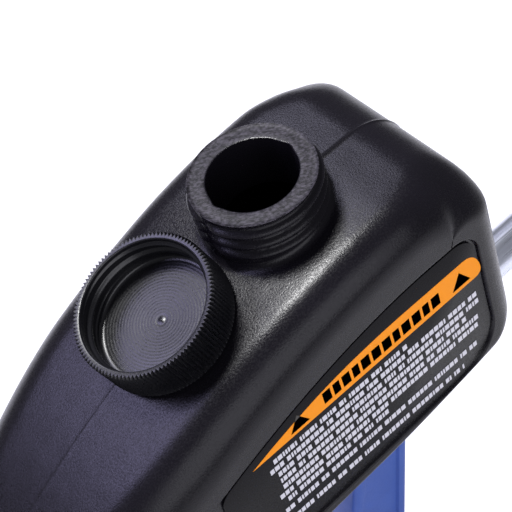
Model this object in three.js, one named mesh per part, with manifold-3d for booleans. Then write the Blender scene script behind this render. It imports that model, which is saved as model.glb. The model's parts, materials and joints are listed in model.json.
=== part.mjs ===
// Gravity-feed abrasive blast gun: a grit hopper on top of a pistol-grip air valve.
// Millimetres, +Z up, +X towards the nozzle, -Y is the gun's right-hand side.
// The gun is drawn around the centre of the filler neck's rim, then moved so that its
// origin is the bottom centre of its bounding box.

import * as THREE from 'three';
import { mergeVertices } from 'three/addons/utils/BufferGeometryUtils.js';
import Module from 'manifold-3d';

const wasm = await Module();
wasm.setup();

// ---- Driving dimensions ----

const GAP = 0.3;                       // left between pieces that touch
const ROUND = 24;                      // facets round a turned piece

const HOPPER_HALF_WIDTH = 36.5;
const HOPPER_WALL = 2.6;
const HOPPER_FRONT_X = 48.4;
const HOPPER_TOP_Z = -12.9;
const HOPPER_LEVEL_X = 21.2;           // the top is level ahead of this, and falls behind it
const HOPPER_FALL = 0.00759;
const HOPPER_FALL_POWER = 1.786;
const HOPPER_TAIL_X = -128;            // where the tail's rounding starts
const HOPPER_TAIL_RADIUS = 19;
const HOPPER_TAPER_X = -55;            // the sides draw in behind this
const HOPPER_TAPER = 0.0128;
const HOPPER_TAPER_POWER = 1.6;
const FRONT_TOP_RADIUS = 17;
const FRONT_BOTTOM_RADIUS = 13;
const FRONT_BOTTOM_Z = -87;

const EDGE_LEAST = 3.5;                // radius of the hopper's lower edges
const EDGE_TOP = 9;                    // more than that along the top
const EDGE_FRONT = 4.5;
const EDGE_TAIL = 7;
const EDGE_MIDDLE_X = -15;
const EDGE_GROWTH = 0.08;

const NECK_RADIUS = 17.6;
const NECK_BORE = 12.7;
const THREAD_RADIUS = 18.8;
const THREAD_PITCH = 4.1;
const NECK_THREADS = 3;
const NECK_ROOT_Z = -22;               // the neck's wall runs down into the hopper's top to here
const NECK_CHAMFER = 0.7;
const THREAD_FOOT = 1.1;               // half the thread's width at its root, and at its crest
const THREAD_CREST = 0.3;

const PANEL_FRONT_X = 39;
const PANEL_REAR_X = -78;
const PANEL_DROP = 19.8;               // panel's upper border below the hopper's top line
const PANEL_DEPTH = 1.2;
const PANEL_CORNER = 8;
const PANEL_FRONT_LOW_Z = -72;         // the front border ends here, above its lower corner
const PANEL_LOW_CORNER_Z = -84;
const PANEL_LOWER = [[-32, -90], [7, -87.6]];  // its lower border runs through these, x and z
const PANEL_REAR_LOW_Z = -92;
const LABEL_BORDER = 1.2;              // bare panel left round the label
const LABEL_THICKNESS = 0.4;
const LABEL_REAR_X = -58;

const CAP_RADIUS = 20.7;
const CAP_HEIGHT = 13;
const CAP_MOUTH = 18.6;
const CAP_FLOOR = 2.4;
const CAP_TILT = 17;                   // degrees, lying on the hopper's sloping back
const CAP_BASE = [-38.9, -1, -23.7];

const BARREL_Z = -105;                 // axis of the jet, mixing chamber and blast tube
const OUTLET_RADIUS = 7.5;             // spout under the hopper
const OUTLET_BORE = 5.5;
const PAD_RADIUS = 11.5;
const PAD_Z = -94.5;
const PAD_ROOT_Z = -88;                // the pad and spout run up into the hopper's floor to here
const SPOUT_ROOT_Z = -90;
const SPOUT_Z = -99.5;
const GASKET_THICKNESS = 1.5;
const JET_BORE = 1.6;
const JET_RADIUS = 6.4;
const JET_REAR_X = -29;
const JET_SHOULDER_X = -9;
const JET_TIP_RADIUS = 2.6;
const JET_TIP_X = -5;
const AIR_PIPE_X = -50;
const AIR_PIPE_BEND = 11;
const CHAMBER_RADIUS = 8.3;
const CHAMBER_BORE = 5;
const CHAMBER_REAR_X = -16;
const CHAMBER_FRONT_X = 34;
const BOSS_RADIUS = 11;

const TUBE_RADIUS = 6.85;              // quarter-inch pipe
const TUBE_BORE = 4.6;
const TUBE_END_X = 112;
const TUBE_FLANGE_RADIUS = 8;
const TUBE_FLANGE_LENGTH = 2.2;
const TUBE_NUT_LENGTH = 13.5;
const TUBE_NUT_STEP = 3;               // length of the nut's inner step past the chamber's end
const HEX_RADIUS = 11.5;
const NOZZLE_SEAL_THICKNESS = 1.4;
const NOZZLE_TIP_LENGTH = 14;
const NOZZLE_TIP_FLANGE = 3;
const NOZZLE_TIP_RADIUS = 5.4;
const NOZZLE_BORE = 3.2;
const NOZZLE_NUT_RADIUS = 9.6;
const NOZZLE_NUT_HOLE = 5.7;
const NOZZLE_NUT_GRIP = 9;             // how far the nut reaches back over the tube

const BODY_HALF_WIDTH = 14.5;
const BODY_WALL = 2.2;
const BODY_BEVEL = 4;
const BODY_SEAM = 0.15;                // half the gap between the two shells
const RIB_THICKNESS = 2.4;
const RIB_PLACES = [20, -13, -42, -64.5];
const BODY_FRONT_X = 30;
const BODY_BOTTOM_Z = -123;
const GRIP_RAKE = 14.5;                // degrees
const GRIP_TOP = [-50, -123];          // a point on the grip's axis, x and z
const GRIP_HALF_DEPTH = 19;
const GRIP_LENGTH = 79.5;

const TRIGGER_HALF_WIDTH = 10;
const TRIGGER_BEVEL = 1.6;
const TRIGGER_EAR = 4.6;               // radius of the trigger round its pin
const PIVOT = [12, -119];              // trigger pin, x and z
const PIN_RADIUS = 2;
const TRIGGER_PANEL_DEPTH = 1.2;

const VALVE_Z = -134;
const VALVE_RADIUS = 8;
const VALVE_FRONT_X = -37;
const VALVE_REAR_X = -66;
const VALVE_CHAMBER_BORE = 5.2;
const VALVE_SEAT_X = -44;
const STEM_RADIUS = 2;
const STEM_TIP_X = -8.5;
const POPPET_X = -46;
const POPPET_RADIUS = 4.6;
const POPPET_LENGTH = 2.6;
const SPRING_RADIUS = 3.5;
const SPRING_WIRE = 0.5;
const SPRING_TURNS = 5;
const PLUG_LENGTH = 6;
const PORT_BORE = 2.8;
const PIPE_RADIUS = 4.4;
const FITTING_NECK = 14;               // length of the inlet fitting inside the grip
const FITTING_NECK_RADIUS = 6.9;
const FITTING_HEX_LENGTH = 9;
const WASHER_RADIUS = 10;
const WASHER_THICKNESS = 1.6;
const PLUG_RADIUS = 5.9;               // quick plug: outside, groove and tip radii
const PLUG_GROOVE_RADIUS = 4.6;
const PLUG_TIP_RADIUS = 4.4;
const PLUG_REACH = 29;                 // from the grip's end to the plug's tip

const SCREW_PLACES = [[25, -118], [-22, -117], [-80, -108], [-66, -118.5], [-47.5, -160], [-78.5, -188]];
const SCREW_HEAD_RADIUS = 3.1;
const SCREW_RADIUS = 1.4;
const SCREW_BOSS_RADIUS = 3.6;
const SCREW_SEAT = 3.4;                // depth of the counterbore that a screw head sits in
const SCREW_TIP_Y = 8;
const HOPPER_SCREW_X = -64;
const HOPPER_SCREW_Y = 6.8;
const HOPPER_SCREW_HEAD = 3.4;         // radii and heights of the screws that hold the hopper
const HOPPER_SCREW_SHANK = 1.6;
const HOPPER_SCREW_HEAD_LOW_Z = -106.6;
const HOPPER_SCREW_HEAD_TOP_Z = -104.2;
const HOPPER_SCREW_TIP_Z = -93;
const HOPPER_BOSS_RADIUS = 4.2;
const HOPPER_BOSS_LOW_Z = -99.4;
const HOPPER_PILOT_RADIUS = 1.9;

// ---- Materials ----

function finish(color, roughness, metalness) {
  return new THREE.MeshStandardMaterial({ color, roughness, metalness });
}

const hopperPlastic = finish(0x232127, 0.45, 0);
const capPlastic = finish(0x1c1c1f, 0.5, 0);
const labelFilm = finish(0x121214, 0.3, 0);
const bluePlastic = finish(0x2f4fa6, 0.45, 0);
const rubber = finish(0x18181a, 0.8, 0);
const steel = finish(0xb9bcc6, 0.35, 1);
const castAlloy = finish(0x9a9ba0, 0.5, 1);
const brass = finish(0xb58d3d, 0.35, 1);
const ceramic = finish(0xe8e2d6, 0.5, 0);

// ---- Geometry helpers ----

function toSolid(geometry) {
  const bare = new THREE.BufferGeometry();
  bare.setAttribute('position', geometry.getAttribute('position').clone());
  if (geometry.index) bare.setIndex(geometry.index.clone());
  const merged = mergeVertices(bare, 1e-4);
  const triVerts = [];
  const index = merged.index.array;
  for (let i = 0; i < index.length; i += 3) {
    const [a, b, c] = [index[i], index[i + 1], index[i + 2]];
    if (a !== b && b !== c && c !== a) triVerts.push(a, b, c);
  }
  const vertProperties = new Float32Array(merged.getAttribute('position').array);
  const mesh = new wasm.Mesh({ numProp: 3, vertProperties, triVerts: new Uint32Array(triVerts) });
  return new wasm.Manifold(mesh);
}

function toGeometry(solid) {
  const mesh = solid.getMesh();
  const geometry = new THREE.BufferGeometry();
  geometry.setAttribute('position', new THREE.BufferAttribute(mesh.vertProperties, 3));
  geometry.setIndex(new THREE.BufferAttribute(mesh.triVerts, 1));
  return geometry;
}

// A turned piece about Z. The profile lists [radius, height] and closes on the axis or on itself.
function turned(profile, segments = ROUND) {
  const points = profile.map(([r, h]) => new THREE.Vector2(r, h));
  return new THREE.LatheGeometry(points, segments).rotateX(Math.PI / 2);
}

// The same, lying along +X.
function turnedAlongX(profile, segments = ROUND) {
  return turned(profile, segments).rotateY(Math.PI / 2);
}

function ringProfile(inner, outer, from, to) {
  return [[inner, from], [outer, from], [outer, to], [inner, to], [inner, from]];
}

function rod(radius, from, to, segments = ROUND) {
  return turned([[0, from], [radius, from], [radius, to], [0, to]], segments);
}

function rodAlongX(radius, from, to, z, segments = ROUND) {
  return rod(radius, from, to, segments).rotateY(Math.PI / 2).translate(0, 0, z);
}

function rodAlongY(radius, from, to, x, z, segments = 20) {
  return rod(radius, -to, -from, segments).rotateX(Math.PI / 2).translate(x, 0, z);
}

function box(low, high) {
  const size = high.map((value, i) => value - low[i]);
  const middle = high.map((value, i) => (value + low[i]) / 2);
  return new THREE.BoxGeometry(...size).translate(...middle);
}

// Extrudes a shape drawn in x and z across the gun, from y = -halfWidth to +halfWidth.
function acrossGun(shape, halfWidth, bevel = 0, inset = 0) {
  const options = {
    depth: 2 * (halfWidth - bevel),
    bevelEnabled: bevel > 0 || inset > 0,
    bevelThickness: bevel,
    bevelSize: bevel,
    bevelOffset: -bevel - inset,
    bevelSegments: 2,
    curveSegments: 4,
  };
  const geometry = new THREE.ExtrudeGeometry(shape, options);
  return geometry.translate(0, 0, bevel - halfWidth).rotateX(Math.PI / 2);
}

function piece(name, geometry, material, place = {}) {
  const mesh = new THREE.Mesh(geometry, material);
  mesh.name = name;
  mesh.position.set(...(place.at || [0, 0, 0]));
  mesh.rotation.y = THREE.MathUtils.degToRad(place.tilt || 0);
  return mesh;
}

// ---- Hopper ----

function hopperTop(x) {
  const behind = Math.max(HOPPER_LEVEL_X - x, 0);
  return HOPPER_TOP_Z - HOPPER_FALL * behind ** HOPPER_FALL_POWER;
}

function hopperHalfWidth(x) {
  const behind = Math.max(HOPPER_TAPER_X - x, 0);
  return HOPPER_HALF_WIDTH - HOPPER_TAPER * behind ** HOPPER_TAPER_POWER;
}

// The hopper's side view on its middle plane, drawn clockwise from the front.
function hopperOutline() {
  const shape = new THREE.Shape();
  const arcX = HOPPER_FRONT_X - FRONT_TOP_RADIUS;
  shape.moveTo(HOPPER_FRONT_X, FRONT_BOTTOM_Z + FRONT_BOTTOM_RADIUS);
  shape.lineTo(HOPPER_FRONT_X, HOPPER_TOP_Z - FRONT_TOP_RADIUS);
  shape.absarc(arcX, HOPPER_TOP_Z - FRONT_TOP_RADIUS, FRONT_TOP_RADIUS, 0, Math.PI / 2);
  const top = [];
  const steps = 12;
  for (let i = 0; i <= steps; i++) {
    const x = HOPPER_LEVEL_X + (HOPPER_TAIL_X - HOPPER_LEVEL_X) * (i / steps);
    top.push(new THREE.Vector2(x, hopperTop(x)));
  }
  shape.splineThru(top);
  const behind = HOPPER_LEVEL_X - HOPPER_TAIL_X;
  const slope = HOPPER_FALL * HOPPER_FALL_POWER * behind ** (HOPPER_FALL_POWER - 1);
  const lean = Math.atan(slope);
  const tailX = HOPPER_TAIL_X + HOPPER_TAIL_RADIUS * Math.sin(lean);
  const tailZ = hopperTop(HOPPER_TAIL_X) - HOPPER_TAIL_RADIUS * Math.cos(lean);
  const startAngle = Math.PI / 2 + lean;
  const endAngle = Math.PI * 1.45;
  shape.absarc(tailX, tailZ, HOPPER_TAIL_RADIUS, startAngle, endAngle);
  const bottom = [[-95, -102.5], [-60, -98.8], [-30, -95.4], [2, -92.5], [29, -88.4]];
  shape.splineThru(bottom.map(([x, z]) => new THREE.Vector2(x, z)));
  const cornerX = HOPPER_FRONT_X - FRONT_BOTTOM_RADIUS;
  const cornerZ = FRONT_BOTTOM_Z + FRONT_BOTTOM_RADIUS;
  shape.absarc(cornerX, cornerZ, FRONT_BOTTOM_RADIUS, -Math.PI * 0.42, 0);
  return shape;
}

// Radius of the hopper's edge at x, where its outline faces (nx, nz). The top edge is rounder ahead.
function hopperEdgeRadius(x, nx, nz) {
  const up = Math.max(nz, 0);
  const forward = Math.max(nx, 0);
  const back = Math.max(-nx, 0);
  const ahead = THREE.MathUtils.clamp((x - EDGE_MIDDLE_X) * EDGE_GROWTH, -4, 4.5);
  return EDGE_LEAST + (EDGE_TOP + ahead) * up + EDGE_FRONT * forward ** 2 + EDGE_TAIL * back ** 2;
}

// Each side is closed on to a line along its middle, whose points are SPINE_STEP apart.
const SPINE = 'spine';
const SPINE_STEP = 20;
const SPINE_Z = -62;
const SPINE_RISE = 0.15;

function spineAt(x) {
  const steps = Math.round(x / SPINE_STEP);
  return SPINE_STEP * THREE.MathUtils.clamp(steps, -6, 1);
}

// The hopper's body, shrunk by a wall thickness for its cavity.
function hopperBlock(shrink, around) {
  const points = hopperOutline().getSpacedPoints(around);
  points.pop();
  const turns = [60, 30, 0];
  const columns = [[-1, SPINE], [-1, 90]];
  for (const turn of turns) columns.push([-1, turn]);
  for (const turn of turns.toReversed()) columns.push([1, turn]);
  columns.push([1, 90], [1, SPINE]);
  const positions = [];
  for (let i = 0; i < points.length; i++) {
    const before = points[(i + points.length - 1) % points.length];
    const after = points[(i + 1) % points.length];
    const along = after.clone().sub(before).normalize();
    const normal = new THREE.Vector2(along.y, -along.x);
    const edgeRadius = hopperEdgeRadius(points[i].x, normal.x, normal.y);
    const radius = Math.max(edgeRadius - shrink, 1);
    for (const [side, turn] of columns) {
      if (turn === SPINE) {
        const spineX = spineAt(points[i].x);
        positions.push(spineX, side * (hopperHalfWidth(spineX) - shrink), SPINE_Z + SPINE_RISE * spineX);
        continue;
      }
      const angle = THREE.MathUtils.degToRad(turn);
      const inward = shrink + radius * (1 - Math.cos(angle));
      const x = points[i].x - normal.x * inward;
      const z = points[i].y - normal.y * inward;
      const edge = hopperHalfWidth(x) - shrink - radius;
      positions.push(x, side * (edge + radius * Math.sin(angle)), z);
    }
  }
  const width = columns.length;
  const index = [];
  for (let i = 0; i < points.length; i++) {
    const next = (i + 1) % points.length;
    for (let c = 0; c < width - 1; c++) {
      const [a, b] = [i * width + c, next * width + c];
      index.push(a, b + 1, b);
      index.push(a, a + 1, b + 1);
    }
  }
  const geometry = new THREE.BufferGeometry();
  geometry.setAttribute('position', new THREE.Float32BufferAttribute(positions, 3));
  geometry.setIndex(index);
  return geometry;
}

function neckProfile() {
  const profile = [[0, NECK_ROOT_Z], [NECK_RADIUS, NECK_ROOT_Z]];
  const lowest = -THREAD_PITCH * NECK_THREADS + 0.6;
  for (let i = 0; i < NECK_THREADS; i++) {
    const z = lowest + i * THREAD_PITCH;
    profile.push([NECK_RADIUS, z - THREAD_FOOT], [THREAD_RADIUS, z - THREAD_CREST]);
    profile.push([THREAD_RADIUS, z + THREAD_CREST], [NECK_RADIUS, z + THREAD_FOOT]);
  }
  profile.push([NECK_RADIUS, -NECK_CHAMFER], [NECK_RADIUS - NECK_CHAMFER, 0], [0, 0]);
  return profile;
}

// Outline of the recessed side panel, drawn in by an inset.
function panelShape(rearX, inset) {
  const shape = new THREE.Shape();
  const frontX = PANEL_FRONT_X - inset;
  const corner = PANEL_CORNER - inset;
  const cornerX = frontX - corner;
  const topAt = (x) => hopperTop(x) - PANEL_DROP - inset;
  const steps = 8;
  const top = [];
  for (let i = 1; i <= steps; i++) {
    const x = cornerX + (rearX + inset - cornerX) * (i / steps);
    top.push(new THREE.Vector2(x, topAt(x)));
  }
  shape.moveTo(frontX, PANEL_FRONT_LOW_Z + inset);
  shape.lineTo(frontX, topAt(cornerX) - corner);
  shape.absarc(cornerX, topAt(cornerX) - corner, corner, 0, Math.PI / 2);
  shape.splineThru(top);
  shape.lineTo(rearX + inset, PANEL_REAR_LOW_Z + inset);
  for (const [x, z] of PANEL_LOWER) shape.lineTo(x, z + inset);
  shape.quadraticCurveTo(frontX, PANEL_LOW_CORNER_Z + inset, frontX, PANEL_FRONT_LOW_Z + inset);
  return shape;
}

function hopper() {
  const floor = HOPPER_HALF_WIDTH - PANEL_DEPTH;
  const outside = 20;
  let solid = toSolid(hopperBlock(0, 48));
  solid = solid.add(toSolid(turned(neckProfile(), 32)));
  solid = solid.add(toSolid(rod(PAD_RADIUS, PAD_Z, PAD_ROOT_Z)));
  solid = solid.add(toSolid(rod(OUTLET_RADIUS, SPOUT_Z, SPOUT_ROOT_Z)));
  solid = solid.subtract(toSolid(hopperBlock(HOPPER_WALL, 32)));
  for (const side of [-1, 1]) {
    const cut = acrossGun(panelShape(PANEL_REAR_X, 0), outside / 2);
    cut.translate(0, side * (floor + outside / 2), 0);
    solid = solid.subtract(toSolid(cut));
    const at = [HOPPER_SCREW_X, side * HOPPER_SCREW_Y, 0];
    const boss = rod(HOPPER_BOSS_RADIUS, HOPPER_BOSS_LOW_Z, SPOUT_ROOT_Z, 16);
    const pilot = rod(HOPPER_PILOT_RADIUS, HOPPER_BOSS_LOW_Z - 2.6, HOPPER_SCREW_TIP_Z + 1, 12);
    solid = solid.add(toSolid(boss.translate(...at)));
    solid = solid.subtract(toSolid(pilot.translate(...at)));
  }
  solid = solid.subtract(toSolid(rod(NECK_BORE, -30, 1, 32)));
  solid = solid.subtract(toSolid(rod(OUTLET_BORE, -102, -80)));
  return piece('hopper', toGeometry(solid), hopperPlastic);
}

function hopperCap() {
  const profile = [[0, 0], [CAP_RADIUS - 0.8, 0], [CAP_RADIUS, 0.8], [CAP_RADIUS, CAP_HEIGHT - 0.5]];
  profile.push([CAP_RADIUS - 0.5, CAP_HEIGHT], [CAP_MOUTH, CAP_HEIGHT]);
  profile.push([CAP_MOUTH, CAP_FLOOR], [0, CAP_FLOOR]);
  return piece('hopper_cap', turned(profile, 36), capPlastic, { at: CAP_BASE, tilt: -CAP_TILT });
}

function label(name, side) {
  const plate = acrossGun(panelShape(LABEL_REAR_X, LABEL_BORDER), LABEL_THICKNESS / 2);
  const y = HOPPER_HALF_WIDTH - PANEL_DEPTH + GAP + LABEL_THICKNESS / 2;
  return piece(name, plate, labelFilm, { at: [0, side * y, 0] });
}

function hopperScrew(name, side) {
  const [head, shank] = [HOPPER_SCREW_HEAD, HOPPER_SCREW_SHANK];
  const [low, under, tip] = [HOPPER_SCREW_HEAD_LOW_Z, HOPPER_SCREW_HEAD_TOP_Z, HOPPER_SCREW_TIP_Z];
  const profile = [[0, low], [head, low], [head, under], [shank, under], [shank, tip], [0, tip]];
  const at = [HOPPER_SCREW_X, side * HOPPER_SCREW_Y, 0];
  return piece(name, turned(profile, 12), steel, { at });
}

// ---- Air and grit path ----

function outletGasket() {
  const top = PAD_Z - GAP;
  const profile = ringProfile(OUTLET_RADIUS + GAP, BOSS_RADIUS - 0.5, top - GASKET_THICKNESS, top);
  return piece('outlet_gasket', turned(profile, 28), rubber);
}

function mixingChamber() {
  const bossTop = PAD_Z - GASKET_THICKNESS - 2 * GAP;
  const barrel = rodAlongX(CHAMBER_RADIUS, CHAMBER_REAR_X, CHAMBER_FRONT_X, BARREL_Z);
  const bore = rodAlongX(CHAMBER_BORE, CHAMBER_REAR_X - 1, CHAMBER_FRONT_X + 1, BARREL_Z, 24);
  const socket = rod(OUTLET_RADIUS + GAP, SPOUT_Z - GAP, bossTop + 1, 28);
  let solid = toSolid(barrel);
  solid = solid.add(toSolid(rod(BOSS_RADIUS, BARREL_Z, bossTop)));
  solid = solid.subtract(toSolid(bore));
  solid = solid.subtract(toSolid(socket));
  solid = solid.subtract(toSolid(rod(CHAMBER_BORE - 0.2, BARREL_Z, bossTop, 24)));
  return piece('mixing_chamber', toGeometry(solid), castAlloy);
}

function airJet() {
  const nose = CHAMBER_BORE - GAP;
  const face = CHAMBER_REAR_X - GAP;
  const profile = [[JET_BORE, JET_REAR_X], [JET_RADIUS, JET_REAR_X], [JET_RADIUS, face], [nose, face]];
  profile.push([nose, JET_SHOULDER_X], [JET_TIP_RADIUS, JET_TIP_X], [JET_BORE, JET_TIP_X]);
  profile.push([JET_BORE, JET_REAR_X]);
  return piece('air_jet', turnedAlongX(profile, 24), brass, { at: [0, 0, BARREL_Z] });
}

function pipeSection() {
  const section = new THREE.Shape();
  section.absarc(0, 0, PIPE_RADIUS, 0, 2 * Math.PI);
  const hole = new THREE.Path();
  hole.absarc(0, 0, PORT_BORE, 0, 2 * Math.PI);
  section.holes.push(hole);
  return section;
}

function airPipe() {
  const path = new THREE.CurvePath();
  const bend = AIR_PIPE_BEND;
  const upperX = AIR_PIPE_X;
  const low = new THREE.Vector3(upperX, 0, VALVE_Z + VALVE_RADIUS + GAP);
  const bendStart = new THREE.Vector3(upperX, 0, BARREL_Z - bend);
  const corner = new THREE.Vector3(upperX, 0, BARREL_Z);
  const bendEnd = new THREE.Vector3(upperX + bend, 0, BARREL_Z);
  const end = new THREE.Vector3(JET_REAR_X - GAP, 0, BARREL_Z);
  path.add(new THREE.LineCurve3(low, bendStart));
  path.add(new THREE.QuadraticBezierCurve3(bendStart, corner, bendEnd));
  path.add(new THREE.LineCurve3(bendEnd, end));
  const options = { extrudePath: path, steps: 12, curveSegments: 5 };
  return piece('air_pipe', new THREE.ExtrudeGeometry(pipeSection(), options), steel);
}

function tubeNut() {
  const start = BODY_FRONT_X + 2 * GAP;
  const end = start + TUBE_NUT_LENGTH;
  const step = CHAMBER_FRONT_X + TUBE_NUT_STEP;
  const hex = turnedAlongX([[0, start], [HEX_RADIUS, start], [HEX_RADIUS, end], [0, end]], 6);
  let solid = toSolid(hex);
  solid = solid.subtract(toSolid(rodAlongX(CHAMBER_RADIUS + GAP, start - 1, step, 0, 28)));
  solid = solid.subtract(toSolid(rodAlongX(TUBE_RADIUS + GAP, start - 1, end + 1, 0, 28)));
  return piece('tube_nut', toGeometry(solid), steel, { at: [0, 0, BARREL_Z] });
}

function blastTube() {
  const start = CHAMBER_FRONT_X + GAP;
  const step = start + TUBE_FLANGE_LENGTH;
  const profile = [[TUBE_BORE, start], [TUBE_FLANGE_RADIUS, start], [TUBE_FLANGE_RADIUS, step]];
  profile.push([TUBE_RADIUS, step], [TUBE_RADIUS, TUBE_END_X]);
  profile.push([TUBE_BORE, TUBE_END_X], [TUBE_BORE, start]);
  return piece('blast_tube', turnedAlongX(profile), steel, { at: [0, 0, BARREL_Z] });
}

function nozzleSeal() {
  const start = TUBE_END_X + GAP;
  const profile = ringProfile(TUBE_BORE, TUBE_RADIUS - 0.2, start, start + NOZZLE_SEAL_THICKNESS);
  return piece('nozzle_seal', turnedAlongX(profile, 28), rubber, { at: [0, 0, BARREL_Z] });
}

function nozzleTip() {
  const start = TUBE_END_X + NOZZLE_SEAL_THICKNESS + 2 * GAP;
  const shoulder = start + NOZZLE_TIP_FLANGE;
  const end = start + NOZZLE_TIP_LENGTH;
  const profile = [[TUBE_BORE, start], [TUBE_RADIUS - 0.2, start], [TUBE_RADIUS - 0.2, shoulder]];
  profile.push([NOZZLE_TIP_RADIUS, shoulder], [NOZZLE_TIP_RADIUS, end - 1]);
  profile.push([NOZZLE_TIP_RADIUS - 0.8, end], [NOZZLE_BORE, end]);
  profile.push([NOZZLE_BORE, start + 5], [TUBE_BORE, start]);
  return piece('nozzle_tip', turnedAlongX(profile), ceramic, { at: [0, 0, BARREL_Z] });
}

function nozzleNut() {
  const start = TUBE_END_X - NOZZLE_NUT_GRIP;
  const shoulder = TUBE_END_X + NOZZLE_SEAL_THICKNESS + NOZZLE_TIP_FLANGE + 3 * GAP;
  const end = shoulder + 3.4;
  const inner = TUBE_RADIUS + GAP;
  const profile = [[inner, start], [NOZZLE_NUT_RADIUS - 0.6, start], [NOZZLE_NUT_RADIUS, start + 0.6]];
  profile.push([NOZZLE_NUT_RADIUS, end - 1.2], [NOZZLE_NUT_RADIUS - 1.2, end]);
  profile.push([NOZZLE_NUT_HOLE, end], [NOZZLE_NUT_HOLE, shoulder], [inner, shoulder], [inner, start]);
  return piece('nozzle_nut', turnedAlongX(profile), steel, { at: [0, 0, BARREL_Z] });
}

// ---- Air valve in the grip ----

// A point on the grip's axis, given its distance below the grip's top.
function gripPoint(down, forward = 0) {
  const rake = THREE.MathUtils.degToRad(GRIP_RAKE);
  const x = GRIP_TOP[0] - down * Math.sin(rake) + forward * Math.cos(rake);
  const z = GRIP_TOP[1] - down * Math.cos(rake) - forward * Math.sin(rake);
  return [x, z];
}

const INLET_PORT_X = gripPoint(18)[0];

function valveBody() {
  let solid = toSolid(rodAlongX(VALVE_RADIUS, VALVE_REAR_X, VALVE_FRONT_X, VALVE_Z));
  const stemHole = rodAlongX(STEM_RADIUS + GAP, VALVE_REAR_X, VALVE_FRONT_X + 1, VALVE_Z, 20);
  const chamber = rodAlongX(VALVE_CHAMBER_BORE, VALVE_REAR_X - 1, VALVE_SEAT_X - 0.6, VALVE_Z, 24);
  const inlet = rod(PORT_BORE, VALVE_Z - VALVE_RADIUS - 1, VALVE_Z, 16).translate(INLET_PORT_X, 0, 0);
  const outlet = rod(PORT_BORE, VALVE_Z, VALVE_Z + VALVE_RADIUS + 1, 16).translate(AIR_PIPE_X, 0, 0);
  for (const cut of [stemHole, chamber, inlet, outlet]) solid = solid.subtract(toSolid(cut));
  return piece('valve_body', toGeometry(solid), brass);
}

function valveStem() {
  const back = POPPET_X - POPPET_LENGTH;
  const profile = [[0, back], [POPPET_RADIUS, back], [POPPET_RADIUS, POPPET_X]];
  profile.push([STEM_RADIUS, POPPET_X], [STEM_RADIUS, STEM_TIP_X - 0.6]);
  profile.push([STEM_RADIUS - 0.6, STEM_TIP_X], [0, STEM_TIP_X]);
  return piece('valve_stem', turnedAlongX(profile, 20), steel, { at: [0, 0, VALVE_Z] });
}

function valveSeal() {
  const profile = ringProfile(STEM_RADIUS + 0.2, POPPET_RADIUS - 0.3, POPPET_X + 0.2, POPPET_X + 1.1);
  return piece('valve_seal', turnedAlongX(profile, 20), rubber, { at: [0, 0, VALVE_Z] });
}

class SpringCurve extends THREE.Curve {
  getPoint(t) {
    const angle = 2 * Math.PI * SPRING_TURNS * t;
    const from = VALVE_REAR_X + PLUG_LENGTH + 1;
    const to = POPPET_X - POPPET_LENGTH - 1;
    const x = from + (to - from) * t;
    return new THREE.Vector3(x, SPRING_RADIUS * Math.cos(angle), VALVE_Z + SPRING_RADIUS * Math.sin(angle));
  }
}

function valveSpring() {
  const section = new THREE.Shape();
  section.absarc(0, 0, SPRING_WIRE, 0, 2 * Math.PI);
  const options = { extrudePath: new SpringCurve(), steps: SPRING_TURNS * 12, curveSegments: 2 };
  return piece('valve_spring', new THREE.ExtrudeGeometry(section, options), steel);
}

function valvePlug() {
  const inner = VALVE_CHAMBER_BORE - GAP;
  const seat = VALVE_REAR_X - GAP;
  const profile = [[0, seat - 2], [7, seat - 2], [7, seat], [inner, seat]];
  profile.push([inner, VALVE_REAR_X + PLUG_LENGTH], [0, VALVE_REAR_X + PLUG_LENGTH]);
  return piece('valve_plug', turnedAlongX(profile, 24), brass, { at: [0, 0, VALVE_Z] });
}

// Pieces that hang along the grip's axis: heights are measured down from the grip's top.
function alongGrip(name, profile, material, segments = ROUND) {
  const at = [GRIP_TOP[0], 0, GRIP_TOP[1]];
  return piece(name, turned(profile, segments), material, { at, tilt: GRIP_RAKE });
}

function inletPipe() {
  const from = -(GRIP_LENGTH - FITTING_NECK - GAP);
  const to = -(-(VALVE_Z - VALVE_RADIUS) + GRIP_TOP[1]) / Math.cos(THREE.MathUtils.degToRad(GRIP_RAKE));
  const profile = ringProfile(PORT_BORE, PIPE_RADIUS, from, to - 1.6);
  return alongGrip('inlet_pipe', profile, steel, 20);
}

function inletFitting() {
  const end = -GRIP_LENGTH;
  const hexStart = end - WASHER_THICKNESS - GAP;
  const tip = end - PLUG_REACH;
  const groove = PLUG_GROOVE_RADIUS;
  const profile = [[0, tip], [PLUG_TIP_RADIUS, tip], [5.2, tip + 3], [PLUG_RADIUS, tip + 5]];
  profile.push([PLUG_RADIUS, tip + 7], [groove, tip + 8], [groove, tip + 11], [PLUG_RADIUS, tip + 12]);
  profile.push([PLUG_RADIUS, hexStart - 8], [FITTING_NECK_RADIUS, hexStart - 8]);
  profile.push([FITTING_NECK_RADIUS, end + FITTING_NECK], [0, end + FITTING_NECK]);
  let solid = toSolid(turned(profile, 28));
  solid = solid.add(toSolid(rod(HEX_RADIUS - 1, hexStart - FITTING_HEX_LENGTH, hexStart, 6)));
  solid = solid.subtract(toSolid(rod(PORT_BORE + 0.4, tip - 1, end + FITTING_NECK + 1, 20)));
  const at = [GRIP_TOP[0], 0, GRIP_TOP[1]];
  return piece('inlet_fitting', toGeometry(solid), brass, { at, tilt: GRIP_RAKE });
}

function inletWasher() {
  const end = -GRIP_LENGTH;
  const profile = ringProfile(FITTING_NECK_RADIUS + GAP, WASHER_RADIUS, end - WASHER_THICKNESS, end - GAP);
  return alongGrip('inlet_washer', profile, rubber, 24);
}

// ---- Body shells ----

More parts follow.
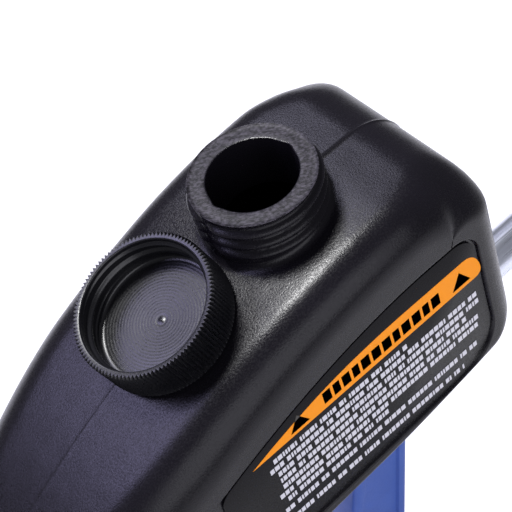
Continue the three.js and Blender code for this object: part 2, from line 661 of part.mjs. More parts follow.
function bodyOutline() {
  const front = BODY_FRONT_X;
  const shape = new THREE.Shape();
  const heelFront = gripPoint(GRIP_LENGTH, GRIP_HALF_DEPTH);
  const heelBack = gripPoint(GRIP_LENGTH, -GRIP_HALF_DEPTH);
  const corner = 10;
  shape.moveTo(front, -97);
  shape.quadraticCurveTo(front, -91.4, front - 5, -90.6);
  shape.lineTo(2, -93.4);
  shape.lineTo(-30, -96.4);
  shape.lineTo(-60, -99.8);
  shape.lineTo(-80, -102);
  shape.quadraticCurveTo(-90, -103.5, -88, -111);
  shape.quadraticCurveTo(-78, -121, ...gripPoint(16, -GRIP_HALF_DEPTH));
  shape.lineTo(...gripPoint(GRIP_LENGTH - corner, -GRIP_HALF_DEPTH));
  shape.quadraticCurveTo(...heelBack, ...gripPoint(GRIP_LENGTH, -GRIP_HALF_DEPTH + corner));
  shape.lineTo(...gripPoint(GRIP_LENGTH, GRIP_HALF_DEPTH - corner));
  shape.quadraticCurveTo(...heelFront, ...gripPoint(GRIP_LENGTH - corner, GRIP_HALF_DEPTH));
  shape.lineTo(...gripPoint(14, GRIP_HALF_DEPTH));
  shape.quadraticCurveTo(-31, BODY_BOTTOM_Z - 3, -22, BODY_BOTTOM_Z);
  shape.lineTo(front - 6, BODY_BOTTOM_Z);
  shape.quadraticCurveTo(front, BODY_BOTTOM_Z, front, BODY_BOTTOM_Z + 6);
  return shape;
}

// Both halves of the body in one solid, before it is parted along the middle.
function wholeBody() {
  const outer = toSolid(acrossGun(bodyOutline(), BODY_HALF_WIDTH, BODY_BEVEL));
  const hollow = toSolid(acrossGun(bodyOutline(), BODY_HALF_WIDTH - BODY_WALL, BODY_BEVEL / 2, BODY_WALL));
  const width = BODY_HALF_WIDTH;
  const bosses = SCREW_PLACES.map(([x, z]) => rodAlongY(SCREW_BOSS_RADIUS, -width, width, x, z, 10));
  const ribs = RIB_PLACES.map((x) => {
    const [low, high] = x > -20 ? [-124, -94] : [-146, -122];
    return box([x, -width, low], [x + RIB_THICKNESS, width, high]);
  });
  let [inside, ...others] = [...ribs, ...bosses].map(toSolid);
  for (const other of others) inside = inside.add(other);
  inside = inside.intersect(outer);
  let solid = outer.subtract(hollow).add(inside);
  const slot = TRIGGER_HALF_WIDTH + 0.7;
  const cuts = [
    rod(PAD_RADIUS + 0.6, -112, -90, 28),
    rodAlongX(CHAMBER_RADIUS + GAP, -20, BODY_FRONT_X + 1, BARREL_Z, 28),
    rodAlongX(VALVE_RADIUS + GAP, VALVE_REAR_X - 3, VALVE_FRONT_X + 1, VALVE_Z, 28),
    rodAlongX(STEM_RADIUS + 0.5, -40, -20, VALVE_Z, 16),
    box([-12, -slot, -140], [26, slot, -113.6]),
    rodAlongY(PIN_RADIUS + GAP, -width - 1, width + 1, PIVOT[0], PIVOT[1]),
  ];
  for (const side of [-1, 1]) {
    cuts.push(rod(2.2, -110, -98, 12).translate(HOPPER_SCREW_X, side * HOPPER_SCREW_Y, 0));
  }
  const rake = THREE.MathUtils.degToRad(GRIP_RAKE);
  const inlet = rod(FITTING_NECK_RADIUS + GAP, -GRIP_LENGTH - 2, -GRIP_LENGTH + 12, 28);
  cuts.push(inlet.rotateY(rake).translate(GRIP_TOP[0], 0, GRIP_TOP[1]));
  for (const [x, z] of SCREW_PLACES) {
    cuts.push(rodAlongY(SCREW_RADIUS + GAP, -width - 1, 9, x, z, 10));
    cuts.push(rodAlongY(SCREW_HEAD_RADIUS + 0.4, -width - 1, SCREW_SEAT - width, x, z, 14));
  }
  for (const cut of cuts) solid = solid.subtract(toSolid(cut));
  return solid;
}

function bodyShells() {
  const whole = wholeBody();
  const far = 40;
  const leftHalf = toSolid(box([-120, BODY_SEAM, -240], [far, far, -80]));
  const rightHalf = toSolid(box([-120, -far, -240], [far, -BODY_SEAM, -80]));
  const left = piece('body_shell_left', toGeometry(whole.intersect(leftHalf)), bluePlastic);
  const right = piece('body_shell_right', toGeometry(whole.intersect(rightHalf)), bluePlastic);
  return [left, right];
}

function bodyScrews() {
  const headBack = -BODY_HALF_WIDTH + 0.8;
  const headFace = SCREW_SEAT - GAP - BODY_HALF_WIDTH;
  const profile = [[0, headBack], [SCREW_HEAD_RADIUS, headBack], [SCREW_HEAD_RADIUS, headFace]];
  profile.push([SCREW_RADIUS, headFace], [SCREW_RADIUS, SCREW_TIP_Y], [0, SCREW_TIP_Y]);
  return SCREW_PLACES.map(([x, z], i) => {
    const geometry = turned(profile, 12).rotateX(-Math.PI / 2);
    return piece(`body_screw_${i + 1}`, geometry, steel, { at: [x, 0, z] });
  });
}

// ---- Trigger ----

function triggerOutline(inset) {
  const [px, pz] = PIVOT;
  const ear = TRIGGER_EAR - inset;
  const shape = new THREE.Shape();
  shape.moveTo(px + ear, pz);
  shape.absarc(px, pz, ear, 0, Math.PI * 0.6);
  shape.quadraticCurveTo(-3, -120 - inset, -6 + inset, -125 - inset);
  shape.quadraticCurveTo(-7 + inset, -138, -10.3 + inset, -147.4);
  shape.quadraticCurveTo(-14 + inset, -160, -19 + inset, -175);
  shape.quadraticCurveTo(-19.5 + inset, -183 + inset, -10, -183.5 + inset);
  shape.quadraticCurveTo(3 - inset, -183.5 + inset, 4.2 - inset, -180 + inset);
  shape.lineTo(7.3 - inset, -169.9);
  shape.lineTo(15.8 - inset, -134.8);
  shape.quadraticCurveTo(18.6 - inset, -124, px + ear, pz);
  return shape;
}

function triggerPanel() {
  const shape = new THREE.Shape();
  shape.moveTo(11.8, -136);
  shape.lineTo(3.6, -170);
  shape.quadraticCurveTo(1.6, -179, -8, -179.5);
  shape.quadraticCurveTo(-16, -179.5, -15.4, -174);
  shape.quadraticCurveTo(-10.4, -160, -6.4, -147);
  shape.quadraticCurveTo(-2.6, -138, -2.2, -134);
  shape.quadraticCurveTo(-1, -129.5, 4, -129.5);
  shape.quadraticCurveTo(12.5, -129.5, 11.8, -136);
  return shape;
}

function trigger() {
  let solid = toSolid(acrossGun(triggerOutline(0), TRIGGER_HALF_WIDTH, TRIGGER_BEVEL));
  for (const side of [-1, 1]) {
    const cut = acrossGun(triggerPanel(), 5);
    cut.translate(0, side * (TRIGGER_HALF_WIDTH - TRIGGER_PANEL_DEPTH + 5), 0);
    solid = solid.subtract(toSolid(cut));
  }
  const bore = rodAlongY(PIN_RADIUS + GAP, -12, 12, PIVOT[0], PIVOT[1]);
  solid = solid.subtract(toSolid(bore));
  return piece('trigger', toGeometry(solid), bluePlastic);
}

function triggerPin() {
  const half = BODY_HALF_WIDTH - 0.2;
  const pin = rodAlongY(PIN_RADIUS, -half, half, 0, 0);
  return piece('trigger_pin', pin, steel, { at: [PIVOT[0], 0, PIVOT[1]] });
}

// ---- Assembly ----

const gun = new THREE.Group();
gun.add(hopper(), hopperCap());
gun.add(label('label_right', -1), label('label_left', 1));
gun.add(hopperScrew('hopper_screw_1', -1), hopperScrew('hopper_screw_2', 1));
gun.add(outletGasket(), mixingChamber(), airJet(), airPipe());
gun.add(tubeNut(), blastTube(), nozzleSeal(), nozzleTip(), nozzleNut());
gun.add(valveBody(), valveStem(), valveSeal(), valveSpring(), valvePlug());
gun.add(inletPipe(), inletFitting(), inletWasher());
gun.add(...bodyShells(), ...bodyScrews());
gun.add(trigger(), triggerPin());

const bounds = new THREE.Box3().setFromObject(gun, true);
gun.position.set(-(bounds.min.x + bounds.max.x) / 2, 0, -bounds.min.z);

export default gun;
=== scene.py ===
"""A gravity-feed grit blast gun: a grit hopper with a screw neck on a blue pistol-grip air valve.

The gun is drawn round the centre of the filler neck's rim, in millimetres: +X towards the nozzle,
-Y the gun's right-hand side, +Z up. Each piece is then moved to where the CAD has it.
"""

import json
import math
import random

import bmesh
import bpy
from mathutils import Matrix, Vector


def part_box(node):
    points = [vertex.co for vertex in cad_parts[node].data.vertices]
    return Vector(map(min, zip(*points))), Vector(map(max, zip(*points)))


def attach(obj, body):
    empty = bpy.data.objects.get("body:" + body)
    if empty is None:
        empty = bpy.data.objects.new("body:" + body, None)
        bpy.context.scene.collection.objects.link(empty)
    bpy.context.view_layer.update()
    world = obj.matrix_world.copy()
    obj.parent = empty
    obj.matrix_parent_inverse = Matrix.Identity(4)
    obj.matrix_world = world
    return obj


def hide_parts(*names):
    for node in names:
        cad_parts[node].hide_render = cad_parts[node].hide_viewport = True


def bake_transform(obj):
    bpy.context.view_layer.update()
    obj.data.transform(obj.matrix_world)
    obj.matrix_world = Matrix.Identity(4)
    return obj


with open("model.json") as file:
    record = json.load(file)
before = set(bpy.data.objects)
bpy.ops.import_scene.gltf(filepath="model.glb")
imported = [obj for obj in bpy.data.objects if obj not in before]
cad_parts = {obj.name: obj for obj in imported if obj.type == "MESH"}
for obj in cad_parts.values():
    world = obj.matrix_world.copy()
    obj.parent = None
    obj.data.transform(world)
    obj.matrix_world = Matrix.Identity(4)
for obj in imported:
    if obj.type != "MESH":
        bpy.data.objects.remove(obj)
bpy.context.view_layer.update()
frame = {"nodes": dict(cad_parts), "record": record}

MM = 0.001
HOPPER_FRONT_X = 48.4
hopper_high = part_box("hopper")[1]
NECK_CENTRE = Vector((hopper_high.x - HOPPER_FRONT_X * MM, 0, hopper_high.z))
TO_ROW = Matrix.Translation(NECK_CENTRE) @ Matrix.Scale(MM, 4)


def in_scene(name, data):
    """A new object in the scene."""
    made = bpy.data.objects.new(name, data)
    bpy.context.scene.collection.objects.link(made)
    return made


# ---- Camera, floor and lights ----

CAMERA_AZIMUTH = math.radians(-25.1)
CAMERA_HEIGHT_ANGLE = math.radians(49.1)
CAMERA_ROLL = math.radians(-20.3)
CAMERA_RIGHT, CAMERA_UP, CAMERA_BACK = 1.063, -21.303, 481.0   # millimetres from the neck's rim
CAMERA_LENS = 130.5


def direction(azimuth, height):
    """The unit vector towards a place seen at this azimuth and height above the horizon."""
    level = math.cos(height)
    return Vector((math.sin(azimuth) * level, -math.cos(azimuth) * level, math.sin(height)))


def make_camera():
    back = direction(CAMERA_AZIMUTH, CAMERA_HEIGHT_ANGLE)
    level_right = (-back).cross(Vector((0, 0, 1))).normalized()
    level_up = level_right.cross(-back)
    right = math.cos(CAMERA_ROLL) * level_right + math.sin(CAMERA_ROLL) * level_up
    up = math.cos(CAMERA_ROLL) * level_up - math.sin(CAMERA_ROLL) * level_right
    data = bpy.data.cameras.new("camera")
    data.lens = CAMERA_LENS
    camera = in_scene("camera", data)
    turn = Matrix((right, up, back)).transposed().to_4x4()
    offset = (right * CAMERA_RIGHT + up * CAMERA_UP + back * CAMERA_BACK) * MM
    camera.matrix_world = Matrix.Translation(NECK_CENTRE + offset) @ turn
    bpy.context.scene.camera = camera


make_camera()


def linear(hex_colour):
    """An sRGB hex colour as linear red, green, blue and alpha."""
    channels = [int(hex_colour[i:i + 2], 16) / 255 for i in (1, 3, 5)]
    return [c / 12.92 if c <= 0.04045 else ((c + 0.055) / 1.055) ** 2.4 for c in channels] + [1.0]


def add(tree, kind, inputs=(), **settings):
    """Adds a node with its settings; inputs gives each socket a value or another node's output."""
    node = tree.nodes.new(kind)
    for key, value in settings.items():
        setattr(node, key, value)
    for key, value in dict(inputs).items():
        if isinstance(value, bpy.types.NodeSocket):
            tree.links.new(value, node.inputs[key])
        else:
            node.inputs[key].default_value = value
    return node


def make_floor():
    half = 4.0   # metres
    mesh = bpy.data.meshes.new("floor")
    corners = [(-half, -half, 0), (half, -half, 0), (half, half, 0), (-half, half, 0)]
    mesh.from_pydata(corners, [], [(0, 1, 2, 3)])
    floor = in_scene("floor", mesh)
    paper = bpy.data.materials.new("studio_paper")
    paper.use_nodes = True
    shader = paper.node_tree.nodes["Principled BSDF"]
    shader.inputs["Base Color"].default_value = linear("#EDEDED")
    shader.inputs["Roughness"].default_value = 0.9
    mesh.materials.append(paper)


def make_softbox(name, azimuth, height, distance, size, power, colour="#FFFFFF"):
    """A square studio softbox that faces the hopper; angles in degrees, distance and size in metres."""
    data = bpy.data.lights.new(name, "AREA")
    data.shape = "RECTANGLE"
    data.size, data.size_y = size
    data.energy = power
    data.color = linear(colour)[:3]
    lamp = in_scene(name, data)
    towards = direction(math.radians(azimuth), math.radians(height))
    lamp.location = NECK_CENTRE + towards * distance
    lamp.rotation_mode = "QUATERNION"
    lamp.rotation_quaternion = towards.to_track_quat("Z", "Y")
    lamp.visible_camera = False


def make_lights():
    world = bpy.data.worlds.new("studio")
    world.use_nodes = True
    backdrop = world.node_tree.nodes["Background"]
    backdrop.inputs["Color"].default_value = linear("#F4F4FF")
    backdrop.inputs["Strength"].default_value = 0.2
    bpy.context.scene.world = world
    bpy.context.scene.view_settings.view_transform = "Standard"
    make_softbox("softbox_over", -172, 71, 1.2, (0.26, 0.26), 20)
    make_softbox("softbox_far", -136, 44, 1.2, (0.5, 0.5), 6, "#CFC9FF")
    make_softbox("softbox_top", 163, 50, 1.2, (0.42, 0.4), 4.2, "#E4E2FF")
    make_softbox("softbox_front", -15, 24, 1.1, (1.3, 0.9), 8, "#F6F6FF")


make_floor()
make_lights()


# ---- Materials ----


def start_material(name, colour, roughness, metallic=0.0, ior=None, gloss=0.5):
    """A material with its shader, and coordinates in millimetres fixed to the piece."""
    material = bpy.data.materials.new(name)
    material.use_nodes = True
    material.diffuse_color = linear(colour)
    tree = material.node_tree
    shader = tree.nodes["Principled BSDF"]
    shader.inputs["Base Color"].default_value = linear(colour)
    shader.inputs["Roughness"].default_value = roughness
    shader.inputs["Metallic"].default_value = metallic
    shader.inputs["Specular IOR Level"].default_value = gloss
    if ior:
        shader.inputs["IOR"].default_value = ior
    where = add(tree, "ShaderNodeTexCoord").outputs["Object"]
    scaled = add(tree, "ShaderNodeVectorMath", {0: where, "Scale": 1 / MM}, operation="SCALE")
    return material, tree, shader, scaled.outputs[0]


def per_mm(size):
    """Texture scale that gives a pattern of this size in millimetres."""
    return 1 / size


CLOUD_SIZE, SAND_SIZE, SCUFF_SIZE, WAVE_SIZE = 14, 0.5, 1.6, 9
SAND_DEPTH, SCUFF_DEPTH, WAVE_DEPTH = 0.06 * MM, 0.05 * MM, 0.4 * MM
SPECKLE_DEPTH, SCRAPE_DEPTH, TURNING_DEPTH = 0.1 * MM, 0.12 * MM, 0.06 * MM


def moulded_polyethylene(name, colour, lit_colour, roughness, grain, dents, gloss):
    """Blow-moulded polyethylene: satin, faintly wavy, with a sandy grain that sparkles in highlights.

    The mould's own grain is finer than this and is drawn coarser so that it shows.
    """
    material, tree, shader, where = start_material(name, colour, roughness, ior=1.51, gloss=gloss)
    clouds = add(tree, "ShaderNodeTexNoise", {"Vector": where, "Scale": per_mm(CLOUD_SIZE), "Detail": 4.0})
    tone = add(tree, "ShaderNodeMix", {0: clouds.outputs[0], 6: linear(colour), 7: linear(lit_colour)},
               data_type="RGBA")
    tree.links.new(tone.outputs[2], shader.inputs["Base Color"])
    sand = add(tree, "ShaderNodeTexNoise", {"Vector": where, "Scale": per_mm(SAND_SIZE), "Detail": 2.0,
                                            "Roughness": 0.7})
    sheen = add(tree, "ShaderNodeMapRange", {0: sand.outputs[0], 1: 0.35, 2: 0.7, 3: roughness - 0.1,
                                             4: roughness + 0.12})
    tree.links.new(sheen.outputs[0], shader.inputs["Roughness"])
    stretch = add(tree, "ShaderNodeVectorMath", {0: where, 1: (0.05, 1.0, 0.4)}, operation="MULTIPLY")
    scratches = add(tree, "ShaderNodeTexNoise", {"Vector": stretch.outputs[0],
                                                 "Scale": per_mm(SCUFF_SIZE), "Detail": 2.0})
    scuffs = add(tree, "ShaderNodeMapRange", {0: scratches.outputs[0], 1: 0.62, 2: 0.7, 3: 0.0, 4: 1.0})
    waves = add(tree, "ShaderNodeTexNoise", {"Vector": where, "Scale": per_mm(WAVE_SIZE), "Detail": 1.0})
    bump = add(tree, "ShaderNodeBump", {"Height": waves.outputs[0], "Strength": dents,
                                        "Distance": WAVE_DEPTH})
    for marks, strength, depth in ((scuffs, 0.05, SCUFF_DEPTH), (sand, grain, SAND_DEPTH)):
        bump = add(tree, "ShaderNodeBump", {"Height": marks.outputs[0], "Strength": strength,
                                            "Distance": depth, "Normal": bump.outputs[0]})
    tree.links.new(bump.outputs[0], shader.inputs["Normal"])
    return material


def speckled(name, colour, deep_colour, roughness, grain_size, grain, metallic=0.0, ior=None, blotch=6.0,
             gloss=0.5):
    """A surface with a fine even grain and slow changes of tone."""
    material, tree, shader, where = start_material(name, colour, roughness, metallic, ior, gloss)
    clouds = add(tree, "ShaderNodeTexNoise", {"Vector": where, "Scale": per_mm(blotch), "Detail": 3.0})
    tone = add(tree, "ShaderNodeMix", {0: clouds.outputs[0], 6: linear(colour), 7: linear(deep_colour)},
               data_type="RGBA")
    tree.links.new(tone.outputs[2], shader.inputs["Base Color"])
    fine = add(tree, "ShaderNodeTexNoise", {"Vector": where, "Scale": per_mm(grain_size), "Detail": 3.0})
    spread = add(tree, "ShaderNodeMapRange", {0: fine.outputs[0], 1: 0.3, 2: 0.7, 3: roughness - 0.06,
                                              4: roughness + 0.08})
    tree.links.new(spread.outputs[0], shader.inputs["Roughness"])
    bump = add(tree, "ShaderNodeBump", {"Height": fine.outputs[0], "Strength": grain,
                                        "Distance": SPECKLE_DEPTH})
    tree.links.new(bump.outputs[0], shader.inputs["Normal"])
    return material


def knife_trimmed(name, colour, scraped_colour, roughness):
    """Polyethylene cut with a knife: dull and mottled, with short scrape marks across it."""
    material, tree, shader, where = start_material(name, colour, roughness, ior=1.51, gloss=0.2)
    turn = add(tree, "ShaderNodeVectorRotate", {"Vector": where, "Angle": 0.6})
    stretch = add(tree, "ShaderNodeVectorMath", {0: turn.outputs[0], 1: (0.22, 1.0, 1.0)},
                  operation="MULTIPLY")
    scrapes = add(tree, "ShaderNodeTexNoise", {"Vector": stretch.outputs[0], "Scale": per_mm(0.45),
                                               "Detail": 3.0, "Roughness": 0.65})
    mottle = add(tree, "ShaderNodeTexNoise", {"Vector": where, "Scale": per_mm(0.9), "Detail": 3.0})
    both_marks = add(tree, "ShaderNodeMath", {0: scrapes.outputs[0], 1: mottle.outputs[0]},
                     operation="MULTIPLY")
    share = add(tree, "ShaderNodeMapRange", {0: both_marks.outputs[0], 1: 0.18, 2: 0.36})
    tone = add(tree, "ShaderNodeMix", {0: share.outputs[0], 6: linear(colour), 7: linear(scraped_colour)},
               data_type="RGBA")
    tree.links.new(tone.outputs[2], shader.inputs["Base Color"])
    bump = add(tree, "ShaderNodeBump", {"Height": scrapes.outputs[0], "Strength": 0.9,
                                        "Distance": SCRAPE_DEPTH})
    tree.links.new(bump.outputs[0], shader.inputs["Normal"])
    return material


def drawn_metal(name, colour, deep_colour, roughness, along):
    """Metal with fine lines left by drawing or turning; along stretches the lines in x, y and z."""
    material, tree, shader, where = start_material(name, colour, roughness, metallic=1.0)
    stretch = add(tree, "ShaderNodeVectorMath", {0: where, 1: along}, operation="MULTIPLY")
    lines = add(tree, "ShaderNodeTexNoise", {"Vector": stretch.outputs[0], "Scale": per_mm(0.6),
                                             "Detail": 4.0})
    tone = add(tree, "ShaderNodeMix", {0: lines.outputs[0], 6: linear(colour), 7: linear(deep_colour)},
               data_type="RGBA")
    tree.links.new(tone.outputs[2], shader.inputs["Base Color"])
    spread = add(tree, "ShaderNodeMapRange", {0: lines.outputs[0], 1: 0.3, 2: 0.7, 3: roughness - 0.07,
                                              4: roughness + 0.1})
    tree.links.new(spread.outputs[0], shader.inputs["Roughness"])
    bump = add(tree, "ShaderNodeBump", {"Height": lines.outputs[0], "Strength": 0.1,
                                        "Distance": TURNING_DEPTH})
    tree.links.new(bump.outputs[0], shader.inputs["Normal"])
    return material


# Blow-moulded black polyethylene: satin, blue-violet where light grazes it, sandy in the highlights.
HOPPER_BLACK = moulded_polyethylene("hopper_polyethylene", "#0D0C10", "#151319", 0.27, 0.9, 0.3,
                                    gloss=0.22)
# The knife-trimmed end of the neck: paler, scraped and dull.
TRIMMED_BLACK = knife_trimmed("trimmed_polyethylene", "#0D0C0F", "#3E3B42", 0.5)
# Injection-moulded polypropylene cap: smooth satin black with a cool sheen.
CAP_BLACK = speckled("cap_polypropylene", "#0E0E11", "#141418", 0.3, 0.4, 0.12, ior=1.49)
# Printed vinyl film: flat glossy black.
LABEL_BLACK = speckled("label_vinyl", "#0C0B0D", "#111013", 0.24, 0.8, 0.06, ior=1.5, gloss=0.1)
# Screen-printed inks on the film: even colour, slightly duller than the film.
LABEL_ORANGE = speckled("label_orange_ink", "#FF9A00", "#F59210", 0.5, 0.5, 0.08, ior=1.5, gloss=0.15)
LABEL_WHITE = speckled("label_white_ink", "#D9D8DE", "#C7C6CF", 0.45, 0.5, 0.05, ior=1.5)
LABEL_MARK = speckled("label_black_ink", "#1A1408", "#241B0C", 0.4, 0.5, 0.05, ior=1.5)
# Glass-filled nylon: strong blue with a fine moulded texture.
BLUE_NYLON = speckled("blue_nylon", "#31509C", "#3B5DAE", 0.42, 0.45, 0.3, ior=1.53)
# Nitrile rubber: matt black.
RUBBER_BLACK = speckled("nitrile_rubber", "#151516", "#1C1C1E", 0.8, 0.5, 0.25, ior=1.52)
# Zinc-plated drawn steel tube: bright, slightly blue, with faint lines along it.
TUBE_STEEL = drawn_metal("zinc_plated_tube", "#E6EAF4", "#D2D7E4", 0.3, (0.04, 1.0, 1.0))
# Turned and plated steel: bright with fine rings round the axis.
NUT_STEEL = drawn_metal("turned_plated_steel", "#D2D4DC", "#C0C2CB", 0.27, (1.0, 0.15, 0.15))
SCREW_STEEL = drawn_metal("plated_screw_steel", "#A9ABB2", "#8C8E95", 0.34, (0.6, 0.6, 0.6))
# Zinc alloy as it leaves the mould: dull grey with a sandy skin.
CAST_ALLOY = speckled("cast_zinc_alloy", "#8E8F95", "#77787E", 0.52, 0.7, 0.5, metallic=1.0)
# Turned free-cutting brass: warm yellow with turning lines across the grip's axis.
BRASS = drawn_metal("turned_brass", "#C39A4A", "#A67F36", 0.28, (0.15, 0.15, 1.0))
# Fine-ground alumina: off-white, dry and even.
CERAMIC = speckled("ground_alumina", "#E9E3D7", "#D9D2C4", 0.55, 0.35, 0.15, ior=1.7)


# ---- Shapes ----


def arc(centre, radius, start, end, steps):
    """Points on an arc in x and z; angles in degrees from +X, turning towards +Z."""
    points = []
    for i in range(steps + 1):
        angle = math.radians(start + (end - start) * i / steps)
        points.append((centre[0] + radius * math.cos(angle), centre[1] + radius * math.sin(angle)))
    return points


def drawn(start, *strokes, steps=10):
    """Points of an outline. A stroke is an end point, or a control point and an end point."""
    points = [start]
    for stroke in strokes:
        if not isinstance(stroke[0], tuple):
            points.append(stroke)
            continue
        (cx, cz), (ex, ez) = stroke
        sx, sz = points[-1]
        for i in range(1, steps + 1):
            t = i / steps
            a, b, c = (1 - t) ** 2, 2 * t * (1 - t), t * t
            points.append((a * sx + b * cx + c * ex, a * sz + b * cz + c * ez))
    return points


def smooth_through(points, steps):
    """A curve through the points, without the first one."""
    ends = [points[0], *points, points[-1]]
    curve = []
    for p0, p1, p2, p3 in zip(ends, ends[1:], ends[2:], ends[3:]):
        for i in range(1, steps + 1):
            t = i / steps
            here = []
            for k in (0, 1):
                v0, v1 = (p2[k] - p0[k]) / 2, (p3[k] - p1[k]) / 2
                cubic = (2 * p1[k] - 2 * p2[k] + v0 + v1) * t ** 3
                square = (3 * p2[k] - 3 * p1[k] - 2 * v0 - v1) * t ** 2
                here.append(cubic + square + v0 * t + p1[k])
            curve.append(tuple(here))
    return curve


def spaced(points, count):
    """Points evenly spaced round a closed outline."""
    loop = [Vector(p) for p in points] + [Vector(points[0])]
    lengths = [0.0]
    for a, b in zip(loop, loop[1:]):
        lengths.append(lengths[-1] + (b - a).length)
    found, k = [], 0
    for i in range(count):
        target = lengths[-1] * i / count
        while lengths[k + 1] < target:
            k += 1
        share = (target - lengths[k]) / max(lengths[k + 1] - lengths[k], 1e-9)
        found.append(loop[k].lerp(loop[k + 1], share))
    return found


def normals(points):
    """Outward normals of a closed outline drawn anticlockwise in x and z."""
    found = []
    for i, point in enumerate(points):
        along = Vector(points[(i + 1) % len(points)]) - Vector(points[i - 1])
        found.append(Vector((along[1], -along[0])).normalized())
    return found


def inset(points, by):
    """A closed outline drawn in by a distance."""
    return [Vector(p) - n * by for p, n in zip(points, normals(points))]


def eased(profile, radius, steps=4):
    """A profile with its inner corners rounded off."""
    points = [profile[0]]
    for before, corner, after in zip(profile, profile[1:], profile[2:]):
        corner_at = Vector(corner)
        back, ahead = Vector(before) - corner_at, Vector(after) - corner_at
        start = corner_at + back.normalized() * min(radius, back.length * 0.45)
        end = corner_at + ahead.normalized() * min(radius, ahead.length * 0.45)
        for i in range(steps + 1):
            t = i / steps
            points.append(tuple(start * (1 - t) ** 2 + corner_at * 2 * t * (1 - t) + end * t * t))
    points.append(profile[-1])
    return points


def skin(mesh, rings, loop_rings=True, join_ends=False):
    """Joins rings of points with quads and gives the rings of vertices."""
    made = [[mesh.verts.new(point) for point in ring] for ring in rings]
    pairs = list(zip(made, made[1:]))
    if join_ends:
        pairs.append((made[-1], made[0]))
    for lower, upper in pairs:
        count = len(lower)
        for i in range(count if loop_rings else count - 1):
            k = (i + 1) % count
            mesh.faces.new((lower[i], lower[k], upper[k], upper[i]))
    return made


def turned(mesh, profile, around=64, ripple=None, join_ends=False):
    """A turned shape about Z; ripple(radius, height, angle) gives the radius at each point."""
    rings = []
    for radius, height in profile:
        ring = []
        for i in range(around):
            angle = 2 * math.pi * i / around
            r = ripple(radius, height, angle) if ripple else radius
            ring.append((r * math.cos(angle), r * math.sin(angle), height))
        rings.append(ring)
    return skin(mesh, rings, join_ends=join_ends)


def slab(mesh, outline, low, high, edge, steps=5):
    """A plate across the gun from y = low to y = high, with rounded edges."""
    levels = []
    for i in range(steps + 1):
        angle = math.pi / 2 * i / steps
        levels.append((low + edge * (1 - math.sin(angle)), edge * (1 - math.cos(angle))))
    levels = [(y, by) for y, by in reversed(levels)] + [
        (low + high - y, by) for y, by in levels]
    rings = [[(p[0], y, p[1]) for p in inset(outline, by)] for y, by in levels]
    made = skin(mesh, rings)
    mesh.faces.new(made[0])
    mesh.faces.new(made[-1])
    return made


def solid_data(name, mesh, place):
    """A finished mesh: doubled points joined, faces turned outwards, then placed."""
    bmesh.ops.remove_doubles(mesh, verts=mesh.verts, dist=0.001)
    bmesh.ops.recalc_face_normals(mesh, faces=mesh.faces)
    mesh.transform(place)
    data = bpy.data.meshes.new(name)
    mesh.to_mesh(data)
    mesh.free()
    return data


def finish_piece(name, mesh, material, body="gun", nodes=(), place=None, sharp=38, extra=()):
    """Turns a mesh drawn in millimetres into a piece of the gun."""
    data = solid_data(name, mesh, TO_ROW @ (place or Matrix.Identity(4)))
    data.shade_smooth()
    data.set_sharp_from_angle(angle=math.radians(sharp))
    for finish in (material, *extra):
        data.materials.append(finish)
    piece = in_scene(name, data)
    if nodes:
        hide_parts(*nodes)
    if body:
        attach(piece, body)
    return piece


# ---- Hopper ----

HOPPER_HALF_WIDTH = 36.5
HOPPER_WALL = 2.6
HOPPER_TOP_Z = -12.9
HOPPER_LEVEL_X = 21.2
HOPPER_FALL, HOPPER_FALL_POWER = 0.00759, 1.786
HOPPER_TAIL_X, HOPPER_TAIL_RADIUS = -127.8, 19
HOPPER_TAPER_X, HOPPER_TAPER, HOPPER_TAPER_POWER = -55, 0.0128, 1.6
FRONT_TOP_RADIUS, FRONT_BOTTOM_RADIUS, FRONT_BOTTOM_Z = 17, 13, -87
HOPPER_CROWN = 0.7
EDGE_LEAST, EDGE_TOP, EDGE_FRONT, EDGE_TAIL = 3.5, 8, 4.5, 7
EDGE_MIDDLE_X, EDGE_GROWTH, EDGE_NOSE = -15, 0.025, 8

HOPPER_BOTTOM = [(-95, -102.5), (-60, -98.8), (-30, -95.4), (2, -92.5), (29, -88.4)]
TAIL_END_ANGLE, LOW_CORNER_ANGLE = 261, -75.6   # degrees, where the rounded ends meet the bottom
SEAM_FAINT, SEAM_CLEAR, SEAM_HALF_WIDTH = 0.08, 0.2, 0.4

NECK_RADIUS, NECK_BORE = 17.2, 12.6
NECK_FLARE, NECK_LIP = 19.8, 0.4
THREAD_HEIGHT, THREAD_PITCH = 1.6, 4.1
THREAD_NARROWNESS, THREAD_POWER = 1.35, 1.3
THREAD_BREAK, THREAD_BREAK_ANGLE = 0.85, 9   # the thread's fade at the seam, and its width in degrees
BORE_SEAM, BORE_SEAM_ANGLE = 0.55, 8
# Radius and height round the trimmed rim, then the bore's added radius and height below it.
NECK_RIM = [(17.7, -0.4), (17.76, -0.1), (17.62, 0.0), (17.45, -0.06), (17.2, -0.24), (16.6, -0.3),
            (15.4, -0.26), (14.2, -0.2)]
NECK_BORE_LIP = [(0.35, -0.2), (0.08, -0.32), (0, -0.7), (0, -6), (0, -12), (0, -18)]

PANEL_FRONT_X, PANEL_DROP, PANEL_FLOOR = 39, 19.8, 35.3
PANEL_LOW_X, PANEL_LOW_Z, PANEL_LOW_SLOPE = 7, -87.6, 0.06
PANEL_TOP_CORNER, PANEL_LOW_CORNER = 8, 14
PANEL_LIP_START, PANEL_LIP_END = -0.25, 0.6
SPINE_STEP, SPINE_Z, SPINE_RISE = 10, -62, 0.15
SPINE_BACK, SPINE_AHEAD = -12, 2   # the ends of the side's middle line, in steps

